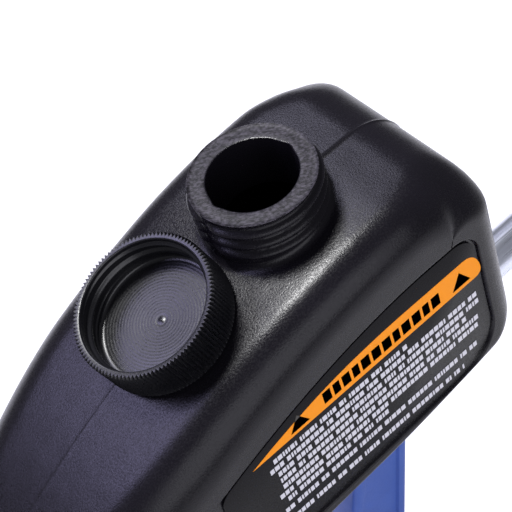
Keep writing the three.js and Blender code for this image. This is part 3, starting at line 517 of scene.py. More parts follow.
OUTLET_BORE, OUTLET_PAD, OUTLET_SPOUT = 5.5, 11.5, 7.5
OUTLET_TOP_Z, OUTLET_PAD_Z, OUTLET_END_Z = -86, -94.5, -99.5
HOPPER_SCREW_X, HOPPER_SCREW_Y = -64, 6.8
HOPPER_BOSS_RADIUS, HOPPER_BOSS_TOP_Z, HOPPER_BOSS_END_Z = 4.2, -90, -99.4


def ramp(value, start, end):
    """0 before start, 1 after end, smooth between."""
    t = min(max((value - start) / (end - start), 0), 1)
    return t * t * (3 - 2 * t)


def thread_ridge(height, angle, pitch, narrowness, power):
    """The share of a thread's full height at a place on it."""
    phase = (height / pitch - angle / (2 * math.pi)) % 1
    return max(math.cos(math.pi * (phase - 0.5) * narrowness), 0) ** power


def hopper_top(x):
    """The height of the hopper's top along its middle: level in front, then falling to the tail."""
    return HOPPER_TOP_Z - HOPPER_FALL * max(HOPPER_LEVEL_X - x, 0) ** HOPPER_FALL_POWER


def hopper_half_width(x):
    """Half the hopper's width, which tapers towards the tail."""
    return HOPPER_HALF_WIDTH - HOPPER_TAPER * max(HOPPER_TAPER_X - x, 0) ** HOPPER_TAPER_POWER


def hopper_outline(count):
    """The hopper's side view on its middle plane: front, top, tail, bottom."""
    corner = (HOPPER_FRONT_X - FRONT_TOP_RADIUS, HOPPER_TOP_Z - FRONT_TOP_RADIUS)
    points = [(HOPPER_FRONT_X, FRONT_BOTTOM_Z + FRONT_BOTTOM_RADIUS)]
    points += arc(corner, FRONT_TOP_RADIUS, 0, 90, 24)
    steps = 120
    for i in range(steps + 1):
        x = HOPPER_LEVEL_X + (HOPPER_TAIL_X - HOPPER_LEVEL_X) * i / steps
        points.append((x, hopper_top(x)))
    behind = HOPPER_LEVEL_X - HOPPER_TAIL_X
    lean = math.atan(HOPPER_FALL * HOPPER_FALL_POWER * behind ** (HOPPER_FALL_POWER - 1))
    tail = (HOPPER_TAIL_X + HOPPER_TAIL_RADIUS * math.sin(lean),
            hopper_top(HOPPER_TAIL_X) - HOPPER_TAIL_RADIUS * math.cos(lean))
    points += arc(tail, HOPPER_TAIL_RADIUS, 90 + math.degrees(lean), TAIL_END_ANGLE, 32)
    points += smooth_through([points[-1], *HOPPER_BOTTOM], 12)
    low_corner = (HOPPER_FRONT_X - FRONT_BOTTOM_RADIUS, FRONT_BOTTOM_Z + FRONT_BOTTOM_RADIUS)
    points += arc(low_corner, FRONT_BOTTOM_RADIUS, LOW_CORNER_ANGLE, 0, 16)[:-1]
    return spaced(points, count)


def crown(y):
    """How far the top has fallen away at a distance y from the middle."""
    return HOPPER_CROWN * (y / HOPPER_HALF_WIDTH) ** 2


def edge_radius(x, normal):
    """Radius of the hopper's edge; the top edge is rounder ahead than behind."""
    up, forward, back = max(normal[1], 0), max(normal[0], 0), max(-normal[0], 0)
    ahead = max(EDGE_MIDDLE_X - x, 0) * EDGE_GROWTH + EDGE_NOSE * ramp(x, 20, 42)
    return EDGE_LEAST + (EDGE_TOP + ahead) * up + EDGE_FRONT * forward ** 2 + EDGE_TAIL * back ** 2


def both(a, b, radius):
    """How far inside two borders a place is, where the corner between them is rounded."""
    if a < radius and b < radius:
        return radius - math.hypot(radius - a, radius - b)
    return min(a, b)


def inside_panel(x, z):
    """How far inside the recessed side panel a place is; below 0 it is outside."""
    front = PANEL_FRONT_X - x
    top = hopper_top(x) - PANEL_DROP - z
    bottom = z - PANEL_LOW_Z + PANEL_LOW_SLOPE * (PANEL_LOW_X - x)
    return both(both(front, top, PANEL_TOP_CORNER), bottom, PANEL_LOW_CORNER)


class SideSection:
    """One line over the hopper's edge and down its side, from the outline to the side's middle."""

    def __init__(self, point, normal, shrink):
        self.point, self.normal, self.shrink = point, normal, shrink
        self.radius = max(edge_radius(point[0], normal) - shrink, 1)
        self.edge = point - normal * (self.radius + shrink)
        spine_x = SPINE_STEP * min(max(round(self.edge[0] / SPINE_STEP), SPINE_BACK), SPINE_AHEAD)
        self.middle = Vector((spine_x, SPINE_Z + SPINE_RISE * spine_x))
        self.length = self.radius + (self.middle - self.edge).length
        self.border = self.find_border()

    def flat(self, u):
        """The place in x and z at a distance u in from the outline."""
        if u <= self.radius:
            return self.point - self.normal * (u + self.shrink)
        share = (u - self.radius) / (self.length - self.radius)
        return self.edge.lerp(self.middle, share)

    def find_border(self):
        """The distance in from the outline at which the side panel starts."""
        steps = 60
        for i in range(1, steps + 1):
            u = self.length * i / steps
            if inside_panel(*self.flat(u)) > 0:
                low, high = self.length * (i - 1) / steps, u
                for _ in range(20):
                    middle = (low + high) / 2
                    low, high = (low, middle) if inside_panel(*self.flat(middle)) > 0 else (middle, high)
                return max(high, 3.0)
        return self.length * 0.5

    def at(self, u, side):
        """The surface point at distance u in from the outline, on one side of the hopper."""
        x, z = self.flat(u)
        half = hopper_half_width(x) - self.shrink
        y = half
        if u < self.radius:
            y = half - self.radius + math.sqrt(self.radius ** 2 - (self.radius - u) ** 2)
        if self.shrink == 0:
            z -= crown(y) * max(self.normal[1], 0) * (1 - ramp(u, 0, self.radius))
        if self.shrink == 0 and y > PANEL_FLOOR:
            y -= (y - PANEL_FLOOR) * ramp(u - self.border, PANEL_LIP_START, PANEL_LIP_END)
        return x, side * y, z

    def distances(self):
        """Distances from the outline, close together over the edge and round the panel's border."""
        if self.shrink:
            return [self.radius * share for share in (0.13, 0.5, 1)] + [self.length]
        over = min(self.radius, self.border - 1.9)
        turn = math.acos(max(1 - over / self.radius, -1))
        found = [self.radius * (1 - math.cos(turn * k / 12)) for k in range(1, 13)]
        before = self.border - 1.2
        found += [over + (before - over) * k / 4 for k in range(1, 5)]
        found += [self.border + step for step in (-0.6, -0.3, -0.1, 0.1, 0.3, 0.5, 0.7, 1.4)]
        after = self.border + 1.4
        found += [after + (self.length - after) * k / 4 for k in range(1, 5)]
        return found


def seam_height(x, y):
    """The raised moulding seam along the hopper's middle, clear in front of the neck and faint behind."""
    strength = SEAM_FAINT + SEAM_CLEAR * ramp(x, -30, 10)
    return strength * math.exp(-((y / SEAM_HALF_WIDTH) ** 2))


def hopper_rows(count, shrink):
    """Rows of points over the hopper from the right side's middle to the left side's."""
    outline = hopper_outline(count)
    rows = []
    for point, normal in zip(outline, normals(outline)):
        section = SideSection(point, normal, shrink)
        distances = section.distances()
        flat_half = hopper_half_width(point[0]) - shrink - section.radius
        if shrink:
            across = [flat_half * k / 3 for k in range(-3, 4)]
        else:
            wide = [flat_half * k / 8 for k in range(1, 9)]
            across = [-y for y in reversed(wide)] + [-1.2, -0.7, -0.3, 0, 0.3, 0.7, 1.2] + wide
        top = []
        for y in across:
            lift = 0 if shrink else seam_height(point[0], y)
            drop = 0 if shrink else crown(y) * max(normal[1], 0)
            place = point - normal * (shrink - lift)
            top.append((place[0], y, place[1] - drop))
        right = [section.at(u, -1) for u in reversed(distances)]
        left = [section.at(u, 1) for u in distances]
        rows.append(right + top + left)
    return rows


def walk_border(edges):
    """The vertices of a hole's border, in order."""
    linked = {}
    for edge in edges:
        a, b = edge.verts
        linked.setdefault(a, []).append(b)
        linked.setdefault(b, []).append(a)
    first = next(iter(linked))
    loop, before = [first], None
    while True:
        following = [v for v in linked[loop[-1]] if v is not before]
        before = loop[-1]
        if following[0] is first:
            return loop
        loop.append(following[0])


def zip_loops(mesh, outer, inner):
    """Fills the strip between two loops with triangles, taking the shorter way across each time."""

    def turn(loop):
        total = 0
        for a, b in zip(loop, loop[1:] + loop[:1]):
            total += a.co.x * b.co.y - b.co.x * a.co.y
        return total

    if turn(outer) * turn(inner) < 0:
        outer = outer[::-1]
    start = min(range(len(outer)), key=lambda i: (outer[i].co - inner[0].co).length)
    outer = outer[start:] + outer[:start + 1]
    inner = inner + inner[:1]
    i = j = 0
    while i < len(outer) - 1 or j < len(inner) - 1:
        step_outer = j == len(inner) - 1
        if i < len(outer) - 1 and not step_outer:
            across_outer = (outer[i + 1].co - inner[j].co).length
            across_inner = (outer[i].co - inner[j + 1].co).length
            step_outer = across_outer < across_inner
        if step_outer:
            mesh.faces.new((outer[i], outer[i + 1], inner[j]))
            i += 1
        else:
            mesh.faces.new((outer[i], inner[j + 1], inner[j]))
            j += 1


def add_hopper_skin(mesh, count, shrink, hole):
    """One skin of the hopper, outer or inner, with a round hole for the neck. Gives the hole's border."""
    made = skin(mesh, hopper_rows(count, shrink), loop_rings=False, join_ends=True)
    verts = [v for row in made for v in row]
    bmesh.ops.remove_doubles(mesh, verts=verts, dist=0.001)
    lowest, near_top = -34, 5
    under_neck = [v for v in mesh.verts if v.co.z > lowest and math.hypot(v.co.x, v.co.y) < hole and
                  abs(v.co.z - hopper_top(v.co.x)) < near_top]
    bmesh.ops.delete(mesh, geom=under_neck, context="VERTS")
    return walk_border([e for e in mesh.edges if len(e.link_faces) == 1])


def from_seam(angle):
    """Degrees from the nearer end of the moulding seam, which crosses the neck at its front and back."""
    turn = math.degrees(angle) % 180
    return min(turn, 180 - turn)


def neck_wall_radius(angle, z, fade):
    """The neck's outside with its moulded thread, which fades out at the seam and at both ends."""
    ridge = thread_ridge(z, angle, THREAD_PITCH, THREAD_NARROWNESS, THREAD_POWER)
    broken = 1 - THREAD_BREAK * math.exp(-((from_seam(angle) / THREAD_BREAK_ANGLE) ** 2))
    lip = NECK_LIP * (1 - ramp(-z, 0.8, 1.3))
    return NECK_RADIUS + lip + THREAD_HEIGHT * ridge * broken * ramp(-z, 1.2, 2.4) * fade


def neck_bore_radius(angle):
    """The neck's inside, which stands back a little at the seam."""
    return NECK_BORE + BORE_SEAM * math.exp(-((from_seam(angle) / BORE_SEAM_ANGLE) ** 2))


def neck_rings(around):
    """Rings of points from the flare on the hopper, up the threads, over the rim and down the bore."""
    angles = [2 * math.pi * i / around for i in range(around)]

    def ring(radius, height):
        points = []
        for angle in angles:
            r = radius(angle)
            x, y = r * math.cos(angle), r * math.sin(angle)
            points.append((x, y, height(x, y, angle)))
        return points

    def on_top(x, y):
        return hopper_top(x) - crown(y) + seam_height(x, y)

    rings = []
    fillet_steps, fillet_height = 7, 1.7
    foot = NECK_FLARE - NECK_RADIUS
    for k in range(fillet_steps + 1):
        turn = math.pi / 2 * k / fillet_steps
        radius = NECK_FLARE - foot * math.sin(turn)
        lift = fillet_height * (1 - math.cos(turn))
        rings.append(ring(lambda a, r=radius: r, lambda x, y, a, h=lift: on_top(x, y) + h))
    wall_steps, top_z = 64, -0.75
    for k in range(1, wall_steps + 1):
        share = k / wall_steps
        points = []
        for angle in angles:
            foot_x, foot_y = NECK_RADIUS * math.cos(angle), NECK_RADIUS * math.sin(angle)
            low = on_top(foot_x, foot_y) + fillet_height
            z = low + (top_z - low) * share
            r = neck_wall_radius(angle, z, ramp(share, 0.0, 0.12))
            points.append((r * math.cos(angle), r * math.sin(angle), z))
        rings.append(points)
    rim_start = len(rings)
    for radius, z in NECK_RIM:
        rings.append(ring(lambda a, r=radius: r, lambda x, y, a, h=z: h))
    for step, z in NECK_BORE_LIP:
        rings.append(ring(lambda a, s=step: neck_bore_radius(a) + s, lambda x, y, a, h=z: h))
    rim_rings = range(rim_start + 1, rim_start + len(NECK_RIM) + 1)
    return rings, rim_rings


def add_outlet(mesh):
    """The flat pad and the spout under the hopper, which sit in the mixing chamber's boss."""
    profile = [(OUTLET_BORE, OUTLET_TOP_Z), (OUTLET_PAD, OUTLET_TOP_Z), (OUTLET_PAD, OUTLET_PAD_Z),
               (OUTLET_SPOUT, OUTLET_PAD_Z), (OUTLET_SPOUT, OUTLET_END_Z), (OUTLET_BORE, OUTLET_END_Z),
               (OUTLET_BORE, OUTLET_TOP_Z)]
    turned(mesh, eased(profile, 0.5)[:-1], around=48, join_ends=True)
    boss = [(0, HOPPER_BOSS_TOP_Z), (HOPPER_BOSS_RADIUS, HOPPER_BOSS_TOP_Z),
            (HOPPER_BOSS_RADIUS, HOPPER_BOSS_END_Z), (0, HOPPER_BOSS_END_Z)]
    for side in (-1, 1):
        made = turned(mesh, eased(boss, 0.4), around=32)
        for v in {v for ring in made for v in ring}:
            v.co.x += HOPPER_SCREW_X
            v.co.y += side * HOPPER_SCREW_Y


def make_hopper():
    mesh = bmesh.new()
    around = 150
    border = add_hopper_skin(mesh, 280, 0, NECK_FLARE + 0.8)
    rings, rim_rings = neck_rings(around)
    made = skin(mesh, rings)
    zip_loops(mesh, border, made[0])
    outer_faces = set(mesh.faces)
    inner = bmesh.new()
    inner_border = add_hopper_skin(inner, 110, HOPPER_WALL, NECK_BORE + 1.5)
    copied = {v: mesh.verts.new(v.co) for v in inner.verts}
    for face in inner.faces:
        mesh.faces.new([copied[v] for v in face.verts])
    zip_loops(mesh, [copied[v] for v in inner_border], made[-1])
    inner.free()
    trimmed = {v for k in rim_rings for v in made[k]}
    for face in outer_faces:
        if all(v in trimmed for v in face.verts):
            face.material_index = 1
    add_outlet(mesh)
    finish_piece("hopper_shell", mesh, HOPPER_BLACK, nodes=["hopper"],
                 extra=[TRIMMED_BLACK])


# ---- Cap ----

CAP_RADIUS, CAP_HEIGHT, CAP_MOUTH, CAP_FLOOR = 20.7, 13, 18.5, 2.4
CAP_TILT = math.radians(-17)
CAP_BASE = Vector((-38.9, -1, -23.7))
CAP_TEETH, CAP_TOOTH_DEPTH = 110, 1.0
CAP_THREAD_PITCH, CAP_THREAD_HEIGHT = 4.2, 1.0
CAP_THREAD_NARROWNESS, CAP_THREAD_POWER = 1.7, 1.1


def cap_outside(radius, height, angle):
    """The knurled outside: fine pointed teeth that run out into the rim."""
    tooth = abs((angle * CAP_TEETH / (2 * math.pi)) % 1 * 2 - 1)
    depth = CAP_TOOTH_DEPTH * ramp(height, 0.2, 0.9)
    return radius - depth * tooth if radius > CAP_RADIUS - 0.8 else radius


def cap_thread(height, angle):
    """How far the inside thread stands in from the wall."""
    ridge = thread_ridge(height, angle, CAP_THREAD_PITCH, CAP_THREAD_NARROWNESS, CAP_THREAD_POWER)
    return CAP_THREAD_HEIGHT * ridge * ramp(height, 3.4, 4.6) * (1 - ramp(height, 10.6, 11.8))


def make_cap():
    mesh = bmesh.new()
    profile = [(0, 0), (12, 0), (CAP_RADIUS - 0.9, 0), (CAP_RADIUS - 0.3, 0.2), (CAP_RADIUS, 0.7)]
    profile += [(CAP_RADIUS, h) for h in (3, 6, 9, 11.5, 12.35)]
    profile += [(CAP_RADIUS - 0.1, 12.85), (CAP_RADIUS - 0.35, CAP_HEIGHT), (CAP_MOUTH + 0.45, CAP_HEIGHT)]
    profile += [(CAP_MOUTH + 0.12, CAP_HEIGHT - 0.12), (CAP_MOUTH, CAP_HEIGHT - 0.4)]
    wall_rows = 44
    wall_top, wall_bottom = CAP_HEIGHT - 0.7, CAP_FLOOR + 1.4
    for k in range(wall_rows + 1):
        profile.append((CAP_MOUTH, wall_top + (wall_bottom - wall_top) * k / wall_rows))
    profile += [(CAP_MOUTH - 0.15, CAP_FLOOR + 0.7), (CAP_MOUTH - 0.6, CAP_FLOOR + 0.2)]
    rows = 60
    for k in range(rows):
        radius = (CAP_MOUTH - 1.4) * (1 - k / rows)
        turning = 0.02 * math.sin(radius * 2 * math.pi / 0.9) * ramp(radius, 1.2, 3)
        pip = 0.15 * (1 - ramp(radius, 0.3, 1.0))
        moat = 0.05 * ramp(radius, 0.9, 1.2) * (1 - ramp(radius, 1.3, 2.2))
        dish = 0.15 * ramp(radius, 12, 2)
        profile.append((radius, CAP_FLOOR + turning + (pip - moat) - dish))
    profile.append((0, CAP_FLOOR + 0.3))

    def shape(radius, height, angle):
        if radius == CAP_MOUTH and CAP_FLOOR < height < CAP_HEIGHT:
            return radius - cap_thread(height, angle)
        return cap_outside(radius, height, angle)

    turned(mesh, profile, around=CAP_TEETH * 4, ripple=shape)
    place = Matrix.Translation(CAP_BASE) @ Matrix.Rotation(CAP_TILT, 4, "Y")
    finish_piece("cap", mesh, CAP_BLACK, body="cap", nodes=["hopper_cap"], place=place,
                 sharp=50)


# ---- Side labels ----

LABEL_LOW, LABEL_HIGH = 35.6, 36.0
LABEL_REAR_X, LABEL_BORDER, LABEL_CORNER = -58, 1.2, 3
INK = 0.07
BAND_FOOT_Z = -51.2
# Each row of ticks: its rear end, its front end and its foot. The far label's rows are turned round.
TEXT_ROWS = [(-40, 10, -55.4), (-42, 36, -58.5), (-40, 36.5, -61.6), (-40, 31, -64.7), (-40, 34, -67.8),
             (-42, 34, -70.9), (-40, -2, -74.0), (-42, 32, -78.0), (-42, 26, -83.0)]
TEXT_TURN = -1
TICK_WIDTHS, TICK_HEIGHT, TICK_GAP, WORD_GAP = (0.6, 1.2, 1.3, 1.5), 1.95, 0.32, 0.9
TRIANGLE_PLACES, TRIANGLE_HALF_WIDTH, TRIANGLE_DROP = (-29, 31), 3.4, 0.2
TRIANGLE_FOOT_Z, TRIANGLE_TOP_Z = -49.8, -44.2
HEADING_START_X, HEADING_END_X, HEADING_FOOT_Z, HEADING_HEIGHT = -20.0, 24, -49.4, 4.6
HEADING_WIDTHS, HEADING_GAP = (2.4, 2.8, 3.0), 0.9


def label_outline(border, rear_x):
    """The side panel's outline drawn in by a border, cut off square at the rear."""
    points, centre = [], Vector((-5, -62))
    count = 240
    for i in range(count):
        angle = 2 * math.pi * i / count
        ray = Vector((math.cos(angle), math.sin(angle)))
        low, high = 0.0, 90.0
        for _ in range(24):
            middle = (low + high) / 2
            x, z = centre + ray * middle
            inside = both(inside_panel(x, z) - border, x - rear_x, LABEL_CORNER) > 0
            low, high = (middle, high) if inside else (low, middle)
        points.append(tuple(centre + ray * low))
    return points


def ink_shape(mesh, outline, side):
    """A printed shape: a thin raised plate on the film."""
    low, high = LABEL_HIGH - 0.05, LABEL_HIGH + INK
    if side < 0:
        low, high = -high, -low
    rings = [[(x, y, z) for x, z in outline] for y in (low, high)]
    made = skin(mesh, rings)
    mesh.faces.new(made[0])
    mesh.faces.new(made[1])


def orange_band():
    """The curved orange band over the label's upper part, pointed at the rear."""
    lower = [(x, BAND_FOOT_Z) for x in (-46.5, -20, 10, 36)]
    front = [((39.2, BAND_FOOT_Z), (38.3, -46.8)), ((37.3, -41.6), (33.2, -41.4))]
    band = drawn(lower[0], *lower[1:], *front, (8.7, -41.4), ((-12, -41.8), (-27, -45.6)),
                 ((-38, -48.2), lower[0]))
    return band[:-1]


def bar(x, z, width, height):
    """An upright bar's outline."""
    return [(x, z), (x + width, z), (x + width, z + height), (x, z + height)]


def text_rows(dice):
    """Plain ticks in rows, in place of the words: x, z and width of each."""
    ticks = []
    for start, end, z in TEXT_ROWS:
        x = start
        while x < end:
            for _ in range(dice.randint(2, 9)):
                width = dice.choice(TICK_WIDTHS)
                if x + width < end:
                    ticks.append((x, z, width))
                x += width + TICK_GAP
            x += WORD_GAP
    return ticks


def triangle(x):
    """A plain triangle on the band; the rear one stands a little lower."""
    foot, top = TRIANGLE_FOOT_Z, TRIANGLE_TOP_Z
    if x < 0:
        foot, top = foot - TRIANGLE_DROP, top - TRIANGLE_DROP
    return [(x - TRIANGLE_HALF_WIDTH, foot), (x + TRIANGLE_HALF_WIDTH, foot), (x, top)]


def make_labels():
    for side, name in ((-1, "label_right"), (1, "label_left")):
        film, band, words, marks = (bmesh.new() for _ in range(4))
        low, high = (LABEL_LOW, LABEL_HIGH) if side > 0 else (-LABEL_HIGH, -LABEL_LOW)
        slab(film, label_outline(LABEL_BORDER, LABEL_REAR_X), low, high, 0.15, steps=2)
        ink_shape(band, orange_band(), side)
        dice = random.Random(7)
        for x, z, width in text_rows(dice):
            shown_x = x if side < 0 else TEXT_TURN - x - width
            ink_shape(words, bar(shown_x, z, width, TICK_HEIGHT), side)
        for x in TRIANGLE_PLACES:
            ink_shape(marks, triangle(x), side)
        x = HEADING_START_X
        while x < HEADING_END_X:
            width = dice.choice(HEADING_WIDTHS)
            ink_shape(marks, bar(x, HEADING_FOOT_Z, width, HEADING_HEIGHT), side)
            x += width + HEADING_GAP
        finish_piece(name + "_film", film, LABEL_BLACK, nodes=[name])
        finish_piece(name + "_band", band, LABEL_ORANGE)
        finish_piece(name + "_words", words, LABEL_WHITE)
        finish_piece(name + "_marks", marks, LABEL_MARK)


# ---- Trigger ----

PIVOT = (12, -119)
PIN_RADIUS = 2.0
TRIGGER_HALF_WIDTH, TRIGGER_EDGE, TRIGGER_EAR = 10, 1.8, 4.6
# How far in from the recess's outline, and how deep.
RECESS_WALL = [(-0.25, 0), (-0.05, 0.06), (0.1, 0.3), (0.25, 0.9), (0.4, 1.12), (0.7, 1.2)]


def trigger_outline():
    """The trigger's side view: the ear round its pin, the finger side and the foot."""
    ear = arc(PIVOT, TRIGGER_EAR, 0, 108, 14)
    rest = drawn(ear[-1], ((-3, -120), (-6, -125)), ((-7, -138), (-10.3, -147.4)),
                 ((-14, -160), (-19, -175)), ((-19.5, -183), (-10, -183.5)), ((3, -183.5), (4.2, -180)),
                 (7.3, -169.9), (15.8, -134.8), ((18.6, -124), ear[0]))
    return spaced(ear[:-1] + rest[:-1], 200)


def trigger_recess():
    """The outline of the shallow recess on each side."""
    panel = drawn((11.8, -136), (3.6, -170), ((1.6, -179), (-8, -179.5)), ((-16, -179.5), (-15.4, -174)),
                  ((-10.4, -160), (-6.4, -147)), ((-2.6, -138), (-2.2, -134)), ((-1, -129.5), (4, -129.5)),
                  ((12.5, -129.5), (11.8, -136)))
    return spaced(panel[:-1][::-1], 140)


def fill_between(mesh, *loops):
    """Fills the flat area between an outer loop and the loops inside it."""
    edges = []
    for loop in loops:
        for a, b in zip(loop, loop[1:] + loop[:1]):
            edges.append(mesh.edges.get((a, b)) or mesh.edges.new((a, b)))
    bmesh.ops.triangle_fill(mesh, edges=edges, use_beauty=True)


def make_trigger():
    mesh = bmesh.new()
    made = slab(mesh, trigger_outline(), -TRIGGER_HALF_WIDTH, TRIGGER_HALF_WIDTH, TRIGGER_EDGE)
    sides = [f for f in mesh.faces if len(f.verts) > 4]
    bmesh.ops.delete(mesh, geom=sides, context="FACES_ONLY")
    recess = trigger_recess()
    for side, loop in ((-1, made[0]), (1, made[-1])):
        rings = []
        for by, depth in RECESS_WALL:
            y = side * (TRIGGER_HALF_WIDTH - depth)
            rings.append([(x, y, z) for x, z in inset(recess, by)])
        walls = skin(mesh, rings)
        fill_between(mesh, loop, walls[0])
        fill_between(mesh, walls[-1])
    finish_piece("trigger_lever", mesh, BLUE_NYLON, body="trigger", nodes=["trigger"])


# ---- Blast tube, nuts and nozzle ----

BARREL_Z = -105
ALONG_BARREL = Matrix.Translation((0, 0, BARREL_Z)) @ Matrix.Rotation(math.pi / 2, 4, "Y")
TUBE_RADIUS, TUBE_BORE, TUBE_FLANGE = 6.85, 4.6, 8
TUBE_START, TUBE_FLANGE_END, TUBE_END = 34.3, 36.5, 112
HEX_CORNER, HEX_CHAMFER, HEX_FLAT_FROM = 11.4, 10.1, 9.9
HEX_START, HEX_END = 30.6, 44.1
SEAL_RADIUS, SEAL_START, SEAL_END = 6.65, 112.3, 113.7
TIP_NECK, TIP_MOUTH, TIP_START, TIP_SHOULDER, TIP_END = 5.4, 3.2, 114, 117, 128
LOCK_RADIUS, LOCK_START, LOCK_END, LOCK_MOUTH = 9.6, 103, 120.7, 5.7
LOCK_TEETH, LOCK_TOOTH_DEPTH = 40, 0.5
NUT_BORE = TUBE_RADIUS + 0.3


def hex_radius(across_corners, angle):
    """The distance to a hexagon's side."""
    turn = (angle + math.pi / 6) % (math.pi / 3) - math.pi / 6
    return across_corners * math.cos(math.pi / 6) / math.cos(turn)


def sleeve(bore, radius, start, end):
    """A plain ring's closed profile."""
    return [(bore, start), (radius, start), (radius, end), (bore, end), (bore, start)]


def make_turned_piece(name, profile, material, place, nodes=(), ease=0.25, around=96, ripple=None,
                      body="gun", sharp=38):
    mesh = bmesh.new()
    closed = profile[0] == profile[-1]
    points = eased(profile, ease) if ease else profile
    turned(mesh, points[:-1] if closed else points, around=around, ripple=ripple, join_ends=closed)
    return finish_piece(name, mesh, material, body=body, nodes=nodes or [name], place=place,
                        sharp=sharp)


def make_barrel():
    tube = [(TUBE_BORE, TUBE_START), (TUBE_FLANGE, TUBE_START), (TUBE_FLANGE, TUBE_FLANGE_END),
            (TUBE_RADIUS, TUBE_FLANGE_END), (TUBE_RADIUS, TUBE_END), (TUBE_BORE, TUBE_END),
            (TUBE_BORE, TUBE_START)]
    make_turned_piece("blast_tube_bright", tube, TUBE_STEEL, ALONG_BARREL, ["blast_tube"])

    def nut(radius, height, angle):
        flat = hex_radius(HEX_CORNER, angle)
        return min(radius, flat) if radius > HEX_FLAT_FROM else radius

    hex_nut = [(8.6, HEX_START), (HEX_CHAMFER, HEX_START), (HEX_CORNER, 31.35), (HEX_CORNER, 43.35),
               (HEX_CHAMFER, HEX_END), (NUT_BORE, HEX_END), (NUT_BORE, 37.0), (8.6, 37.0), (8.6, HEX_START)]
    make_turned_piece("tube_nut_hex", hex_nut, NUT_STEEL, ALONG_BARREL, ["tube_nut"],
                      ease=0, around=144, ripple=nut, sharp=25)
    seal = sleeve(TUBE_BORE, SEAL_RADIUS, SEAL_START, SEAL_END)
    make_turned_piece("nozzle_seal_ring", seal, RUBBER_BLACK, ALONG_BARREL, ["nozzle_seal"])
    tip = [(TUBE_BORE, TIP_START), (SEAL_RADIUS, TIP_START), (SEAL_RADIUS, TIP_SHOULDER),
           (TIP_NECK, TIP_SHOULDER), (TIP_NECK, TIP_END - 1), (4.6, TIP_END), (TIP_MOUTH, TIP_END),
           (TIP_MOUTH, 119), (TUBE_BORE, TIP_START)]
    make_turned_piece("nozzle_tip_ground", tip, CERAMIC, ALONG_BARREL, ["nozzle_tip"])

    def knurl(radius, height, angle):
        tooth = abs((angle * LOCK_TEETH / (2 * math.pi)) % 1 * 2 - 1)
        cut = LOCK_TOOTH_DEPTH * ramp(height, 104.2, 104.8) * (1 - ramp(height, 116.4, 117))
        return radius - cut * tooth if radius > 9.5 else radius

    side = [(LOCK_RADIUS, height) for height in (103.5, 104.1, 104.9, 110, 116.3, 117.1, 119.4)]
    lock = [(NUT_BORE, LOCK_START), (9.1, LOCK_START), *side, (8.4, LOCK_END), (LOCK_MOUTH, LOCK_END),
            (LOCK_MOUTH, 117.3), (NUT_BORE, 117.3), (NUT_BORE, LOCK_START)]
    make_turned_piece("nozzle_nut_knurled", lock, NUT_STEEL, ALONG_BARREL, ["nozzle_nut"],
                      ease=0, around=LOCK_TEETH * 6, ripple=knurl, sharp=30)


# ---- Body shells and their screws ----

BODY_HALF_WIDTH, BODY_WALL, BODY_EDGE, BODY_PARTING = 14.5, 2.2, 4, 0.15
BODY_FRONT_X, BODY_LOW_Z = 30, -123
GRIP_RAKE = math.radians(14.5)
GRIP_TOP_X, GRIP_TOP_Z = -50, -123
GRIP_HALF_DEPTH, GRIP_LENGTH, GRIP_CORNER = 19, 79.5, 10
ALONG_GRIP = Matrix.Translation((GRIP_TOP_X, 0, GRIP_TOP_Z)) @ Matrix.Rotation(GRIP_RAKE, 4, "Y")
SCREW_PLACES = [(25, -118), (-22, -117), (-80, -108), (-66, -118.5), (-47.5, -160), (-78.5, -188)]
SCREW_HEAD_RADIUS, SCREW_RADIUS, SCREW_BOSS_RADIUS, SCREW_SEAT = 3.1, 1.4, 3.6, 3.4
VALVE_Z, VALVE_RADIUS = -134, 8
CLEARANCE = 0.3
SPOUT_ROOM, TUBE_ROOM, STEM_ROOM, INLET_ROOM = 12.1, 8.6, 2.5, 7.2   # radii cut out of the shells
FAR_SIDE = 40   # further out than either shell


def grip_point(down, forward=0):
    """A place in x and z, so far down the grip's axis and so far forward of it."""
    x = GRIP_TOP_X - down * math.sin(GRIP_RAKE) + forward * math.cos(GRIP_RAKE)
    return x, GRIP_TOP_Z - down * math.cos(GRIP_RAKE) - forward * math.sin(GRIP_RAKE)


def body_outline():
    """The side view of body and grip, with its corners eased."""
    front, low, deep, corner = BODY_FRONT_X, BODY_LOW_Z, GRIP_HALF_DEPTH, GRIP_CORNER
    points = drawn((front, -97), ((front, -91.4), (front - 5, -90.6)), (2, -93.4), (-30, -96.4),
                   (-60, -99.8), (-80, -102), ((-90, -103.5), (-88, -111)),
                   ((-78, -121), grip_point(16, -deep)), grip_point(GRIP_LENGTH - corner, -deep),
                   (grip_point(GRIP_LENGTH, -deep), grip_point(GRIP_LENGTH, corner - deep)),
                   grip_point(GRIP_LENGTH, deep - corner),
                   (grip_point(GRIP_LENGTH, deep), grip_point(GRIP_LENGTH - corner, deep)),
                   grip_point(14, deep), ((-31, low - 3), (-22, low)), (front - 6, low),
                   ((front, low), (front, low + 6)))
    loop = spaced(points, 420)
    for _ in range(12):
        loop = [(a + b * 2 + c) / 4 for a, b, c in zip(loop[-1:] + loop, loop, loop[1:] + loop[:1])]
    return loop


def rod(radius, start, end, place=None, around=40):
    """A plain rod along Z, then placed."""
    mesh = bmesh.new()
    turned(mesh, [(0, start), (radius, start), (radius, end), (0, end)], around=around)
    mesh.transform(place or Matrix.Identity(4))
    return mesh


def rod_across(radius, start, end, x, z, around=40):
    """A plain rod across the gun."""
    place = Matrix.Translation((x, 0, z)) @ Matrix.Rotation(-math.pi / 2, 4, "X")
    return rod(radius, start, end, place, around)


def rod_along(radius, start, end, z):
    """A plain rod along the gun."""
    return rod(radius, start, end, Matrix.Translation((0, 0, z)) @ Matrix.Rotation(math.pi / 2, 4, "Y"))


